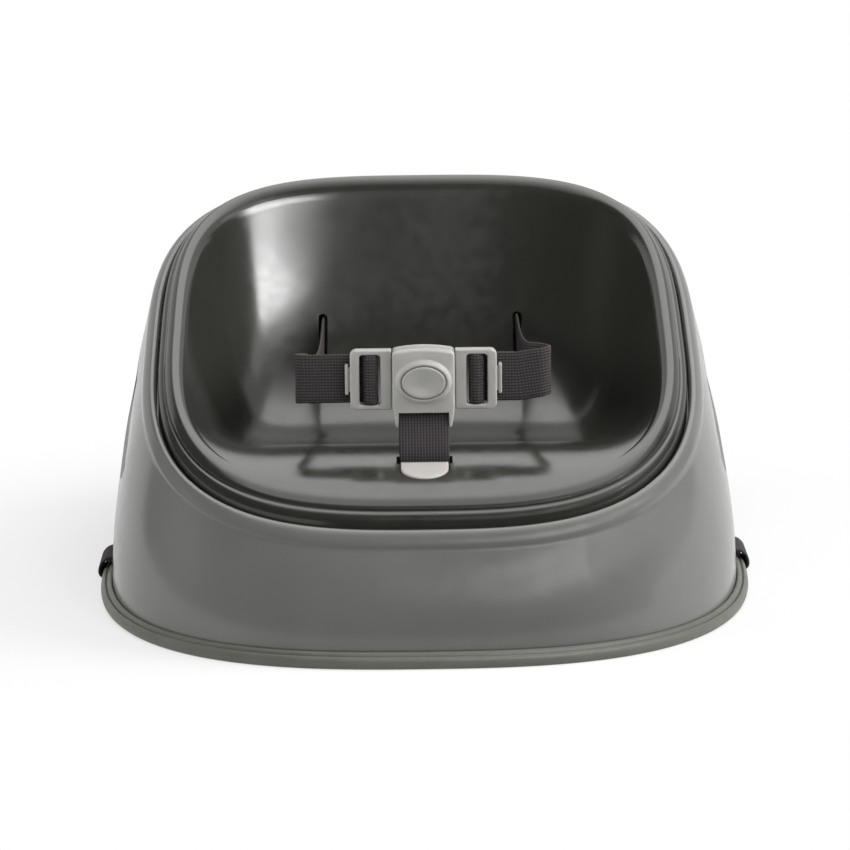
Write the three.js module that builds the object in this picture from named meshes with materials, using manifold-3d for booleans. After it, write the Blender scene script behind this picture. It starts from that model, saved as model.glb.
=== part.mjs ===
import * as THREE from 'three';
import { mergeVertices } from 'three/addons/utils/BufferGeometryUtils.js';
import Module from 'manifold-3d';

// Overall dimensions, millimetres
const RIM_HALF_WIDTH = 134.2;
const RIM_HALF_DEPTH = 132.5;
const RIM_EXPONENT_FRONT = 2.95;
const RIM_EXPONENT_BACK = 3.35;
const RIM_Z_FRONT = 60;
const RIM_Z_BACK = 178;
const WALL_HALF_WIDTH = 159;
const WALL_HALF_DEPTH = 158;
const WALL_EXPONENT = 2.72;
const WALL_THICKNESS = 3;
const WALL_BOTTOM_Z = 2.5;
const SEGMENTS = 54;

// Clearances
const FIT = 0.3;
const RIM_GAP = 1.2;

// Rim section, heights above the tilted rim plane and widths in from the gap line
const SHOULDER_OUT = 7;
const SHOULDER_DROP = 5.5;
const LEDGE_H = -10;
const LEDGE_THICK = 3.4;
const FLANGE_THICK = 3;
const ROLL_WIDTH = 15;
const ROLL_INNER_H = 5.6;
const ROLL_FRONT_LIFT = 2.7;

// Bucket seat
const TRAY_HALF_WIDTH = 82;
const TRAY_HALF_DEPTH = 60;
const TRAY_CENTRE_Y = -40;
const TRAY_EXPONENT = 2.6;
const CREST_Y = -78;
const CREST_Z = 84.5;
const FRONT_CURVE = 0.0061;
const BASIN_Y = 22;
const BASIN_Z = 62.5;
const LINER_THICK = 4;
const BOWL_FLAT = 0.56;
const BOWL_STEEP = 0.79;
const BOWL_RISE = 0.5;
const PAN_THICK = 3;

// Webbing
const WEB_WIDTH = 24.3;
const WEB_THICK = 1.4;

// Harness
const SLOT_X = 52;
const SLOT_Z = 101;
const SLOT_TALL = 28;
const SLOT_WIDE = 4.6;
const BUCKLE_Z = 120;
const BUCKLE_BACK_Y = -73;
const CROTCH_Y = -92.5;

// Foot ring and chair straps
const RING_OUT = 6;
const CHAIR_SLOT_Z = 10.9;
const CHAIR_BUCKLE_Z = 9.4;

const wasm = await Module();
wasm.setup();

const PI = Math.PI;
const RIM_TILT = (RIM_Z_BACK - RIM_Z_FRONT) / (2 * RIM_HALF_DEPTH);
const RIM_Z_MID = (RIM_Z_BACK + RIM_Z_FRONT) / 2;
const TILT_ANGLE = Math.atan(RIM_TILT);

const planeZ = (y) => RIM_Z_MID + RIM_TILT * y;

function superPoint(t, a, b, n) {
  const c = Math.cos(t);
  const s = Math.sin(t);
  return [a * Math.sign(c) * Math.abs(c) ** (2 / n), b * Math.sign(s) * Math.abs(s) ** (2 / n)];
}

const rimExponent = (t) => (Math.sin(t) < 0 ? RIM_EXPONENT_FRONT : RIM_EXPONENT_BACK);
const rimPoint = (t) => superPoint(t, RIM_HALF_WIDTH, RIM_HALF_DEPTH, rimExponent(t));
const wallPoint = (t) => superPoint(t, WALL_HALF_WIDTH, WALL_HALF_DEPTH, WALL_EXPONENT);

// Even spacing along the rim outline, from the middle of the front
function evenAngles(count) {
  const fine = 4000;
  const start = -PI / 2;
  const lengths = [0];
  let last = rimPoint(start);
  for (let i = 1; i <= fine; i += 1) {
    const now = rimPoint(start + (2 * PI * i) / fine);
    lengths.push(lengths[i - 1] + Math.hypot(now[0] - last[0], now[1] - last[1]));
    last = now;
  }
  const angles = [];
  let at = 0;
  for (let k = 0; k < count; k += 1) {
    const want = (lengths[fine] * k) / count;
    while (lengths[at + 1] < want) at += 1;
    const share = (want - lengths[at]) / (lengths[at + 1] - lengths[at]);
    angles.push(start + (2 * PI * (at + share)) / fine);
  }
  return angles;
}

const ANGLES = evenAngles(SEGMENTS);

// A closed outline moved inwards by a width, or by a width that changes round it
function insetLoop(pointAt, inset) {
  const step = 1e-3;
  return ANGLES.map((t) => {
    const p = pointAt(t);
    const q = pointAt(t + step);
    const o = pointAt(t - step);
    const dx = q[0] - o[0];
    const dy = q[1] - o[1];
    const len = Math.hypot(dx, dy);
    const width = typeof inset === 'function' ? inset(t) : inset;
    return [p[0] - (width * dy) / len, p[1] + (width * dx) / len];
  });
}

// How far a place on the outline belongs to the front, from 0 to 1
function frontShare(t) {
  const share = Math.min(1, Math.max(0, (-Math.sin(t) - 0.35) / 0.6));
  return share * share * (3 - 2 * share);
}

// A loop at a height above the tilted rim plane, with a lift that grows towards the front
function rimLoop(inset, h, frontLift = 0) {
  return insetLoop(rimPoint, inset).map(([x, y], i) => [
    x, y, planeZ(y) + h + frontLift * frontShare(ANGLES[i]),
  ]);
}

function wallLoop(inset, z) {
  return insetLoop(wallPoint, inset).map(([x, y]) => [x, y, z]);
}

// Wall between the bottom outline and the rim outline, upright below and leaning in above
function blendLoop(low, high, u) {
  const lean = u * u;
  return low.map((p, i) => {
    const q = high[i];
    return [
      p[0] + (q[0] - p[0]) * lean,
      p[1] + (q[1] - p[1]) * lean,
      p[2] + (q[2] - p[2]) * u,
    ];
  });
}

function rawSolid(points, triangles) {
  const geometry = new THREE.BufferGeometry();
  geometry.setAttribute('position', new THREE.Float32BufferAttribute(points.flat(), 3));
  geometry.setIndex(triangles.flat());
  return geometry;
}

// Skin over a list of loops, whose last loop joins the first
function loftRound(loops) {
  const points = loops.flat();
  const n = loops[0].length;
  const triangles = [];
  for (let k = 0; k < loops.length; k += 1) {
    const here = k * n;
    const next = ((k + 1) % loops.length) * n;
    for (let i = 0; i < n; i += 1) {
      const j = (i + 1) % n;
      triangles.push([here + i, here + j, next + j], [here + i, next + j, next + i]);
    }
  }
  return rawSolid(points, triangles);
}

// Skin over a list of loops closed by a point at both ends
function loftCapped(first, loops, last) {
  const n = loops[0].length;
  const points = [first, ...loops.flat(), last];
  const triangles = [];
  for (let i = 0; i < n; i += 1) {
    const j = (i + 1) % n;
    triangles.push([0, 1 + j, 1 + i]);
    for (let k = 0; k + 1 < loops.length; k += 1) {
      const here = 1 + k * n;
      const next = here + n;
      triangles.push([here + i, here + j, next + j], [here + i, next + j, next + i]);
    }
    const end = 1 + (loops.length - 1) * n;
    triangles.push([end + i, end + j, points.length - 1]);
  }
  return rawSolid(points, triangles);
}

function toManifold(geometry) {
  const plain = geometry.clone();
  plain.deleteAttribute('normal');
  plain.deleteAttribute('uv');
  const merged = mergeVertices(plain, 1e-4);
  let mesh = new wasm.Mesh({
    numProp: 3,
    vertProperties: new Float32Array(merged.attributes.position.array),
    triVerts: new Uint32Array(merged.index.array),
  });
  mesh.merge();
  let solid = new wasm.Manifold(mesh);
  if (solid.volume() < 0) {
    const flipped = new Uint32Array(merged.index.array);
    for (let i = 0; i < flipped.length; i += 3) {
      const keep = flipped[i];
      flipped[i] = flipped[i + 1];
      flipped[i + 1] = keep;
    }
    mesh = new wasm.Mesh({
      numProp: 3,
      vertProperties: new Float32Array(merged.attributes.position.array),
      triVerts: flipped,
    });
    mesh.merge();
    solid = new wasm.Manifold(mesh);
  }
  return solid;
}

function toGeometry(solid) {
  const mesh = solid.getMesh();
  const geometry = new THREE.BufferGeometry();
  geometry.setAttribute('position', new THREE.BufferAttribute(new Float32Array(mesh.vertProperties), 3));
  geometry.setIndex(new THREE.BufferAttribute(new Uint32Array(mesh.triVerts), 1));
  geometry.computeVertexNormals();
  return geometry;
}

function box(x0, x1, y0, y1, z0, z1) {
  const geometry = new THREE.BoxGeometry(x1 - x0, y1 - y0, z1 - z0);
  geometry.translate((x0 + x1) / 2, (y0 + y1) / 2, (z0 + z1) / 2);
  return toManifold(geometry);
}

function cylinder(radius, height, segments = 24) {
  const geometry = new THREE.CylinderGeometry(radius, radius, height, segments);
  geometry.rotateX(PI / 2);
  return geometry;
}

// A flat outline pushed along Y, its face towards the front at frontY
function frontPlate(shape, frontY, backY, bevel = 0, segments = 8) {
  const depth = backY - frontY - 2 * bevel;
  const geometry = new THREE.ExtrudeGeometry(shape, {
    depth,
    bevelEnabled: bevel > 0,
    bevelThickness: bevel,
    bevelSize: bevel,
    bevelOffset: -bevel,
    bevelSegments: 1,
    curveSegments: segments,
  });
  geometry.rotateX(PI / 2);
  geometry.translate(0, backY - bevel, 0);
  return geometry;
}

// Rounded rectangle
function roundedRect(x0, x1, z0, z1, r) {
  const s = new THREE.Shape();
  s.moveTo(x0 + r, z0);
  s.lineTo(x1 - r, z0);
  s.absarc(x1 - r, z0 + r, r, -PI / 2, 0, false);
  s.lineTo(x1, z1 - r);
  s.absarc(x1 - r, z1 - r, r, 0, PI / 2, false);
  s.lineTo(x0 + r, z1);
  s.absarc(x0 + r, z1 - r, r, PI / 2, PI, false);
  s.lineTo(x0, z0 + r);
  s.absarc(x0 + r, z0 + r, r, PI, 1.5 * PI, false);
  return s;
}

function ovalShape(halfWidth, halfHeight, x = 0, z = 0) {
  const s = new THREE.Shape();
  s.absellipse(x, z, halfWidth, halfHeight, 0, 2 * PI, false, 0);
  return s;
}

// Ribbon of even thickness along a flat path of [u, v] points, wide across that plane.
// place(u, v, across) gives the point in space
function ribbon(path, place) {
  const half = WEB_THICK / 2;
  const loops = path.map(([u, v], i) => {
    const sides = [];
    if (i > 0) sides.push([u - path[i - 1][0], v - path[i - 1][1]]);
    if (i + 1 < path.length) sides.push([path[i + 1][0] - u, path[i + 1][1] - v]);
    let nu = 0;
    let nv = 0;
    for (const [du, dv] of sides) {
      const len = Math.hypot(du, dv);
      nu -= dv / len;
      nv += du / len;
    }
    const len = Math.hypot(nu, nv);
    const miter = Math.min(1.3, sides.length / len);
    const wu = (half * miter * nu) / len;
    const wv = (half * miter * nv) / len;
    const w = WEB_WIDTH / 2;
    return [
      place(u + wu, v + wv, -w), place(u + wu, v + wv, w),
      place(u - wu, v - wv, w), place(u - wu, v - wv, -w),
    ];
  });
  const points = loops.flat();
  const triangles = [];
  for (let k = 0; k + 1 < loops.length; k += 1) {
    for (let i = 0; i < 4; i += 1) {
      const j = (i + 1) % 4;
      const here = 4 * k;
      const next = here + 4;
      triangles.push([here + i, here + j, next + j], [here + i, next + j, next + i]);
    }
  }
  const end = 4 * (loops.length - 1);
  triangles.push([0, 2, 1], [0, 3, 2], [end, end + 1, end + 2], [end, end + 2, end + 3]);
  return toManifold(rawSolid(points, triangles));
}

// Smooth path through points, kept flat
function smoothPath(points, count) {
  const flat = points.map(([x, y]) => new THREE.Vector3(x, y, 0));
  const curve = new THREE.CatmullRomCurve3(flat, false, 'centripetal');
  return curve.getSpacedPoints(count).map((p) => [p.x, p.y]);
}

function extruded(shape, depth) {
  return new THREE.ExtrudeGeometry(shape, { depth, bevelEnabled: false, curveSegments: 8 });
}

function mirrored(geometry) {
  const copy = geometry.clone();
  copy.scale(-1, 1, 1);
  const flipped = copy.index ? copy.toNonIndexed() : copy;
  const p = flipped.attributes.position.array;
  for (let i = 0; i < p.length; i += 9) {
    for (let k = 0; k < 3; k += 1) {
      const keep = p[i + k];
      p[i + k] = p[i + 3 + k];
      p[i + 3 + k] = keep;
    }
  }
  flipped.deleteAttribute('normal');
  flipped.deleteAttribute('uv');
  const merged = mergeVertices(flipped, 1e-4);
  merged.computeVertexNormals();
  return merged;
}

const group = new THREE.Group();
group.name = 'chair_booster_seat';

function addPiece(name, solid, color, roughness, metalness = 0) {
  const geometry = solid.isBufferGeometry ? solid : toGeometry(solid);
  const material = new THREE.MeshStandardMaterial({ color, roughness, metalness });
  const mesh = new THREE.Mesh(geometry, material);
  mesh.name = name;
  group.add(mesh);
  return mesh;
}

const BASE_GREY = 0x777774;
const LINER_GREY = 0x4b4c47;
const RING_GREY = 0x66665f;
const HARD_GREY = 0x9c9b97;
const WEB_GREY = 0x4a4546;
const STEEL = 0xb4b4b2;

// Height and slope of the seat from front to back: falls in front of the crest, hollow behind it
function seatZ(y) {
  if (y < CREST_Y) return CREST_Z - FRONT_CURVE * (CREST_Y - y) ** 2;
  const share = Math.min(1, (y - CREST_Y) / (BASIN_Y - CREST_Y));
  return CREST_Z + (BASIN_Z - CREST_Z) * share * share * (3 - 2 * share);
}
const seatSlope = (y) => (seatZ(y + 0.01) - seatZ(y - 0.01)) / 0.02;

// Bucket surface: tray outline, then a curve up to the roll of the rim
const trayLoop = ANGLES.map((t) => {
  const p = superPoint(t, TRAY_HALF_WIDTH, TRAY_HALF_DEPTH, TRAY_EXPONENT);
  const y = p[1] + TRAY_CENTRE_Y;
  return [p[0], y, seatZ(y)];
});
const rollLoop = rimLoop(ROLL_WIDTH, ROLL_INNER_H, ROLL_FRONT_LIFT);

function bucketPoint(i, s, offset) {
  const p = trayLoop[i];
  const q = rollLoop[i];
  const dx = q[0] - p[0];
  const dy = q[1] - p[1];
  const run = Math.hypot(dx, dy);
  const rise = q[2] - p[2];
  const r = [0, BOWL_FLAT * run, BOWL_STEEP * run, run];
  const first = ((seatSlope(p[1]) * dy) / run) * r[1];
  const h = [0, first, first + BOWL_RISE * (rise - first), rise];
  const w = [(1 - s) ** 3, 3 * s * (1 - s) ** 2, 3 * s * s * (1 - s), s ** 3];
  const d = [3 * (1 - s) ** 2, 6 * s * (1 - s), 3 * s * s];
  const at = (v) => w[0] * v[0] + w[1] * v[1] + w[2] * v[2] + w[3] * v[3];
  const slope = (v) => d[0] * (v[1] - v[0]) + d[1] * (v[2] - v[1]) + d[2] * (v[3] - v[2]);
  const tr = slope(r);
  const tz = slope(h);
  const len = Math.hypot(tr, tz);
  const along = at(r) + (offset * tz) / len;
  return [
    p[0] + (dx / run) * along,
    p[1] + (dy / run) * along,
    p[2] + at(h) - (offset * tr) / len,
  ];
}

const bucketLoop = (share, offset) => trayLoop.map((p, i) => bucketPoint(i, share(i), offset));

function trayLoopAt(k, offset) {
  return trayLoop.map((p) => {
    const y = (p[1] - TRAY_CENTRE_Y) * k + TRAY_CENTRE_Y;
    return [p[0] * k, y, seatZ(y) - offset];
  });
}

const trayPoint = (offset) => [0, TRAY_CENTRE_Y, seatZ(TRAY_CENTRE_Y) - offset];
const UP_STEPS = [0, 0.17, 0.34, 0.52, 0.68, 0.84, 1];
const UNDER_STEPS = [0, 0.33, 0.67, 1];
const TRAY_STEPS = [0.3, 0.65];
const PAN_TOP = LINER_THICK + 0.8;
const PAN_UNDER = PAN_TOP + PAN_THICK;

// Ledge and flange: narrow at both sides, wide in front and behind, where the screws are
const reach = (side, ends) => (t) => side + (ends - side) * Math.sin(t) ** 2;
const flangeReach = reach(8.6, 16);
const ledgeReach = reach(6.2, 13);

// Highest place on each meridian where the underside of the pan still clears the ledge
const edgeLoop = rimLoop(0, 0);
const innerLoop = rimLoop(1, 0);
const underTop = ANGLES.map((t, i) => {
  for (let s = 1 - 0.4 * frontShare(t); s > 0.3; s -= 0.01) {
    const [x, y, z] = bucketPoint(i, s, PAN_UNDER);
    const nx = innerLoop[i][0] - edgeLoop[i][0];
    const ny = innerLoop[i][1] - edgeLoop[i][1];
    const inset = (x - edgeLoop[i][0]) * nx + (y - edgeLoop[i][1]) * ny;
    const top = LEDGE_H - FIT + 12 * frontShare(t);
    if (z - planeZ(y) <= top && inset >= ledgeReach(t) + 1) return s;
  }
  return 0.3;
});

const upwards = (loops) => loops.slice().reverse();

const underLoops = (offset) => [
  ...upwards(UNDER_STEPS.map((k) => bucketLoop((i) => underTop[i] * k, offset))),
  ...upwards(TRAY_STEPS.map((k) => trayLoopAt(k, offset))),
];

// Places in the frame of the tilted rim: x, y on the rim plane and w along its normal
function onRim(geometry, x, y) {
  const copy = geometry.clone();
  copy.rotateX(TILT_ANGLE);
  copy.translate(x, y, planeZ(y));
  return copy;
}

const alongNormal = (h) => h * Math.cos(TILT_ANGLE);

// Depth at which a level ray towards the back first meets a solid
function meetsAt(geometry, x, z, fromY) {
  const mesh = new THREE.Mesh(geometry, new THREE.MeshBasicMaterial({ side: THREE.DoubleSide }));
  mesh.updateMatrixWorld(true);
  const ray = new THREE.Raycaster(new THREE.Vector3(x, fromY, z), new THREE.Vector3(0, 1, 0));
  return ray.intersectObject(mesh).map((hit) => hit.point.y);
}

// Screw places on the rim flange
const SCREW_INSET = 8;
const SCREW_X = 62;
const screwLoop = rimLoop(SCREW_INSET, 0);
const screwPlaces = [];
screwLoop.forEach((p, i) => {
  const q = screwLoop[(i + 1) % screwLoop.length];
  for (const x of [-SCREW_X, SCREW_X]) {
    const share = (x - p[0]) / (q[0] - p[0]);
    if (share >= 0 && share < 1) screwPlaces.push([x, p[1] + share * (q[1] - p[1])]);
  }
});

screwPlaces.sort((a, b) => (a[1] > 0) - (b[1] > 0) || a[0] - b[0]);

function rimCylinder(radius, lowH, highH, [x, y], segments = 12) {
  const low = alongNormal(lowH);
  const high = alongNormal(highH);
  const geometry = cylinder(radius, high - low, segments);
  geometry.translate(0, 0, (high + low) / 2);
  return toManifold(onRim(geometry, x, y));
}

// Seat liner: bucket, rolled rim, groove and lower lip
const LIP_BOTTOM_H = -6.2;
// Width in, height, and lift at the front: roll, groove and lip
const rollSection = [
  [13.2, 7.8, 0.5], [10.6, 9.2, -1.1], [8, 9.2, -1.6], [5.9, 7.8, -1.1], [5, 6.2, -0.6],
  [5.3, 5.3, -0.3], [3.2, 4.6, 0], [RIM_GAP, 2.3, 0],
];
let liner = toManifold(loftCapped(
  trayPoint(0),
  [
    ...TRAY_STEPS.map((k) => trayLoopAt(k, 0)),
    ...UP_STEPS.map((s) => bucketLoop(() => s, 0)),
    ...rollSection.map(([inset, h, lift]) => rimLoop(inset, h, lift)),
    rimLoop(RIM_GAP, LIP_BOTTOM_H),
    rimLoop(flangeReach, LIP_BOTTOM_H),
    ...underLoops(LINER_THICK),
  ],
  trayPoint(LINER_THICK),
));

// Seat pan: rigid bowl with a flange
const FLANGE_TOP_H = LIP_BOTTOM_H - FIT;
const FLANGE_BOTTOM_H = FLANGE_TOP_H - FLANGE_THICK - 0.2;
let pan = toManifold(loftCapped(
  trayPoint(PAN_TOP),
  [
    ...upwards(underLoops(PAN_TOP)),
    rimLoop((t) => flangeReach(t) - FIT + 2 * FIT * frontShare(t), FLANGE_TOP_H),
    rimLoop(1, FLANGE_TOP_H),
    rimLoop(1, FLANGE_BOTTOM_H),
    rimLoop((t) => ledgeReach(t) + 0.5 + 5 * frontShare(t), FLANGE_BOTTOM_H),
    ...underLoops(PAN_UNDER),
  ],
  trayPoint(PAN_UNDER),
));
// Space above the pan, for trimming what is added behind it
const aboveTop = rimLoop((t) => flangeReach(t) - FIT, 200).map(([x, y]) => [x, y, 320]);
const abovePan = toManifold(loftCapped(
  trayPoint(PAN_TOP),
  [...upwards(underLoops(PAN_TOP)), rimLoop((t) => flangeReach(t) - FIT, FLANGE_TOP_H), aboveTop],
  [0, 0, 320],
));

// Screw bosses stand up from the flange into pockets of the liner
for (const place of screwPlaces) {
  pan = pan.add(rimCylinder(3.5, FLANGE_BOTTOM_H + 1, -0.6, place));
  pan = pan.subtract(rimCylinder(1.8, FLANGE_BOTTOM_H - 3, -1.8, place));
  liner = liner.subtract(rimCylinder(3.9, LIP_BOTTOM_H - 3, 0, place));
}

// Waist slots, with a pad behind the pan that the keeper plates rest on
const PAD_HALF_X = 10;
const PAD_HALF_Z = 21;
const panGeometry = toGeometry(pan);
const padBack = meetsAt(panGeometry, SLOT_X, SLOT_Z + PAD_HALF_Z, -40).pop() + 0.5;
for (const side of [-1, 1]) {
  const x = side * SLOT_X;
  const pad = box(x - PAD_HALF_X, x + PAD_HALF_X, 30, padBack, SLOT_Z - PAD_HALF_Z, SLOT_Z + PAD_HALF_Z);
  pan = pan.add(pad.subtract(abovePan));
  const slit = (half, tall) => {
    const shape = roundedRect(x - half, x + half, SLOT_Z - tall / 2, SLOT_Z + tall / 2, half * 0.95);
    return toManifold(frontPlate(shape, 20, 160, 0, 3));
  };
  pan = pan.subtract(slit(SLOT_WIDE / 2, SLOT_TALL));
  liner = liner.subtract(slit(SLOT_WIDE / 2 + 0.3, SLOT_TALL + 0.6));
}

// Crotch opening: D-shaped in front, wider behind for the webbing
const D_HALF = 11.5;
const D_BACK = CROTCH_Y - 4;
const D_STRAIGHT = D_BACK - 5;
const D_FRONT = D_BACK - 13.5;
const D_MID = (D_BACK + D_FRONT) / 2;
const OPEN_BACK = CROTCH_Y + 3.6;
function dShape(grow, back) {
  const s = new THREE.Shape();
  const half = D_HALF + grow;
  s.moveTo(half, back);
  s.lineTo(half, D_STRAIGHT);
  s.absellipse(0, D_STRAIGHT, half, D_STRAIGHT - D_FRONT + grow, 0, -PI, true, 0);
  s.lineTo(-half, back);
  s.closePath();
  return s;
}
function upright(shape, z0, z1) {
  const geometry = extruded(shape, z1 - z0);
  geometry.translate(0, 0, z0);
  return geometry;
}
const webHalf = WEB_WIDTH / 2;
const crotchOpening = (grow) => toManifold(upright(dShape(0.4 + grow, D_BACK + 1), 40, 100))
  .add(box(-webHalf - 1.2 - grow, webHalf + 1.2 + grow, D_BACK - 0.4, OPEN_BACK + grow, 40, 100));
liner = liner.subtract(crotchOpening(0.2));
const sunkLiner = toGeometry(liner);
sunkLiner.translate(0, 0, -FIT);
pan = pan.subtract(crotchOpening(0)).subtract(toManifold(sunkLiner));
[pan] = pan.decompose().sort((a, b) => b.volume() - a.volume());
addPiece('seat_liner', liner, LINER_GREY, 0.28);
addPiece('seat_pan', pan, 0x5a5a57, 0.6);

// Pan screws, driven up through the ledge
const HEAD_RADIUS = 3.2;
const HEAD_TALL = 2.2;
const screwProfile = () => {
  const seat = alongNormal(LEDGE_H - LEDGE_THICK) - FIT;
  const tip = alongNormal(-2.4);
  const head = seat - HEAD_TALL;
  const points = [
    [0, head], [HEAD_RADIUS - 0.5, head], [HEAD_RADIUS, head + 0.6], [HEAD_RADIUS, seat],
    [1.5, seat], [1.5, tip - 1.2], [0.6, tip], [0, tip],
  ];
  return points.map(([r, z]) => new THREE.Vector2(r, z));
};
screwPlaces.forEach((place, k) => {
  const turned = new THREE.LatheGeometry(screwProfile(), 12);
  turned.rotateX(PI / 2);
  let screw = toManifold(turned);
  const low = alongNormal(LEDGE_H - LEDGE_THICK) - FIT - HEAD_TALL;
  for (const [wx, wy] of [[1.8, 0.45], [0.45, 1.8]]) {
    screw = screw.subtract(box(-wx, wx, -wy, wy, low - 1, low + 1.1));
  }
  addPiece(`pan_screw_${k + 1}`, toManifold(onRim(toGeometry(screw), place[0], place[1])), STEEL, 0.35, 1);
});

// Base shell: leaning wall, rounded shoulder, ledge and inside wall
const OUTER_STEPS = [0, 0.2, 0.42, 0.64, 0.84, 1];
const skinLoops = (inset) => {
  const low = wallLoop(inset, WALL_BOTTOM_Z);
  const high = rimLoop(-SHOULDER_OUT + inset, -SHOULDER_DROP);
  return OUTER_STEPS.map((u) => blendLoop(low, high, u));
};
const shoulder = [[-6.5, -3], [-5, -0.9], [-2.8, 0.3], [-0.9, 0.2], [0, -0.7]];
const innerLow = wallLoop(WALL_THICKNESS, WALL_BOTTOM_Z);
const innerHigh = rimLoop(-SHOULDER_OUT + WALL_THICKNESS - 0.6, LEDGE_H - LEDGE_THICK);
let base = toManifold(loftRound([
  ...skinLoops(0),
  ...shoulder.map(([inset, h]) => rimLoop(inset, h)),
  rimLoop(0, LEDGE_H),
  rimLoop(ledgeReach, LEDGE_H),
  rimLoop(ledgeReach, LEDGE_H - LEDGE_THICK),
  ...[1, 0.7, 0.35, 0].map((u) => blendLoop(innerLow, innerHigh, u)),
]));
const solidSkin = (inset) => toManifold(loftCapped(
  [0, 0, WALL_BOTTOM_Z], skinLoops(inset), [0, 0, RIM_Z_MID],
));
const envelope = solidSkin(WALL_THICKNESS / 2);

// Ribs under the ledge
const RIB = 2;
const RIB_LOW = 14;
const RIB_X = RIM_HALF_WIDTH + 1.8;
const RIB_FRONT = RIM_HALF_DEPTH + 5.5;
const RIB_BACK = RIM_HALF_DEPTH - 0.5;
const ribs = [];
for (const sx of [-1, 1]) {
  for (const y of [-64, 64]) {
    const [x0, x1] = sx > 0 ? [RIB_X, RIB_X + 40] : [-RIB_X - 40, -RIB_X];
    ribs.push(box(x0, x1, y - RIB / 2, y + RIB / 2, RIB_LOW, planeZ(y) + LEDGE_H - LEDGE_THICK / 2 - 1));
  }
  const x = sx * 38;
  const frontTop = planeZ(-RIB_FRONT) + LEDGE_H - 2;
  const backTop = planeZ(RIB_BACK) + LEDGE_H - 2;
  ribs.push(box(x - RIB / 2, x + RIB / 2, -RIB_FRONT - 40, -RIB_FRONT, RIB_LOW, frontTop));
  ribs.push(box(x - RIB / 2, x + RIB / 2, RIB_BACK, RIB_BACK + 40, RIB_LOW, backTop));
}
for (const rib of ribs) base = base.add(rib.intersect(envelope));

// Grip recess in each side wall
const RECESS_DEPTH = 2.4;
const RECESS_Y = 3;
const RECESS_Z = 83;
const RECESS_X = RIM_HALF_WIDTH + 4.8;
const recessFloor = solidSkin(RECESS_DEPTH);
const recessBack = solidSkin(RECESS_DEPTH + 2.8);
for (const side of [-1, 1]) {
  const prism = (grow) => {
    const shape = roundedRect(-44 - grow, 44 + grow, -15 - grow, 15 + grow, 13 + grow);
    const geometry = extruded(shape, 40);
    geometry.rotateX(PI / 2);
    geometry.rotateZ(PI / 2);
    geometry.rotateX(TILT_ANGLE);
    geometry.translate(side > 0 ? RECESS_X : -RECESS_X - 40, RECESS_Y, RECESS_Z);
    return toManifold(geometry);
  };
  base = base.add(prism(2.5).intersect(recessFloor).subtract(recessBack));
  base = base.subtract(prism(0).subtract(recessFloor));
}

// Slots for the chair straps and holes for the pan screws
const besideWall = (side, x0, x1, ...rest) => {
  const ends = side > 0 ? [x0, x1] : [-x1, -x0];
  return box(side * WALL_HALF_WIDTH + ends[0], side * WALL_HALF_WIDTH + ends[1], ...rest);
};
for (const side of [-1, 1]) {
  const half = webHalf + 0.7;
  base = base.subtract(besideWall(side, -14, 10, -half, half, CHAIR_SLOT_Z - 1.4, CHAIR_SLOT_Z + 1.4));
}
for (const place of screwPlaces) base = base.subtract(rimCylinder(1.8, LEDGE_H - 8, LEDGE_H + 2, place));
addPiece('base_shell', base, BASE_GREY, 0.22);

// Foot ring: outer bead, groove, inner bead and a channel for the wall edge
const ringSection = [
  [RING_OUT - 1.2, 0],
  [RING_OUT - 0.3, 1.3],
  [RING_OUT, 3.2],
  [RING_OUT - 0.6, 5.3],
  [RING_OUT - 1.8, 6.1],
  [2.9, 5.4],
  [2.2, 6.6],
  [1.2, 7.4],
  [FIT, 7.2],
  [FIT, WALL_BOTTOM_Z - FIT],
  [-WALL_THICKNESS - 0.6, WALL_BOTTOM_Z - FIT],
  [-WALL_THICKNESS - 0.6, 6],
  [-WALL_THICKNESS - 2.8, 6],
  [-WALL_THICKNESS - 2.8, 0],
];
let ring = toManifold(loftRound(ringSection.map(([out, z]) => wallLoop(-out, z))));
for (const side of [-1, 1]) {
  ring = ring.subtract(besideWall(side, -11, 12, -webHalf - 0.6, webHalf + 0.6, -1, 2));
}
addPiece('foot_ring', ring, RING_GREY, 0.7);

// Keeper plates behind the waist slots
const KEEPER_THICK = 3;
const KEEPER_HALF_Z = PAD_HALF_Z - 2;
const keeperFront = padBack + FIT;
const keeperBack = keeperFront + KEEPER_THICK;
function keeper(side) {
  const x = side * SLOT_X;
  const outline = roundedRect(x - 9, x + 9, SLOT_Z - KEEPER_HALF_Z, SLOT_Z + KEEPER_HALF_Z, 3);
  const plate = frontPlate(outline, keeperFront, keeperBack, 0, 3);
  const tall = webHalf + 0.7;
  const slit = box(x - 1.4, x + 1.4, keeperFront - 2, keeperBack + 2, SLOT_Z - tall, SLOT_Z + tall);
  return toManifold(plate).subtract(slit);
}
addPiece('waist_anchor_left', keeper(-1), HARD_GREY, 0.5);
addPiece('waist_anchor_right', keeper(1), HARD_GREY, 0.5);

// Crotch anchor: D plate in the opening, flange under the pan, bar for the webbing.
// It is drawn level at the middle of the plate, then slanted like the seat there
const PLATE_TOP = seatZ(D_MID) + 0.5;
const FLANGE_TOP = seatZ(D_MID) - PAN_UNDER - FIT;
const FLANGE_LOW = FLANGE_TOP - 3.2;
const slantedZ = (y, z) => z + seatSlope(D_MID) * (y - D_MID);
const CROTCH_BAR_Y = CROTCH_Y - 0.4;
const CROTCH_BAR_Z = slantedZ(CROTCH_BAR_Y, FLANGE_LOW - 5);
const BAR_RADIUS = 1.6;
const WEB_TURN = BAR_RADIUS + FIT + WEB_THICK / 2;
let anchor = toManifold(upright(dShape(0, D_BACK), FLANGE_LOW + 1, PLATE_TOP));
const anchorFlange = new THREE.Shape();
const FLANGE_HALF = webHalf + 4.8;
const FLANGE_BACK = OPEN_BACK + 4.6;
const FLANGE_FRONT = D_MID - 4;
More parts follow.
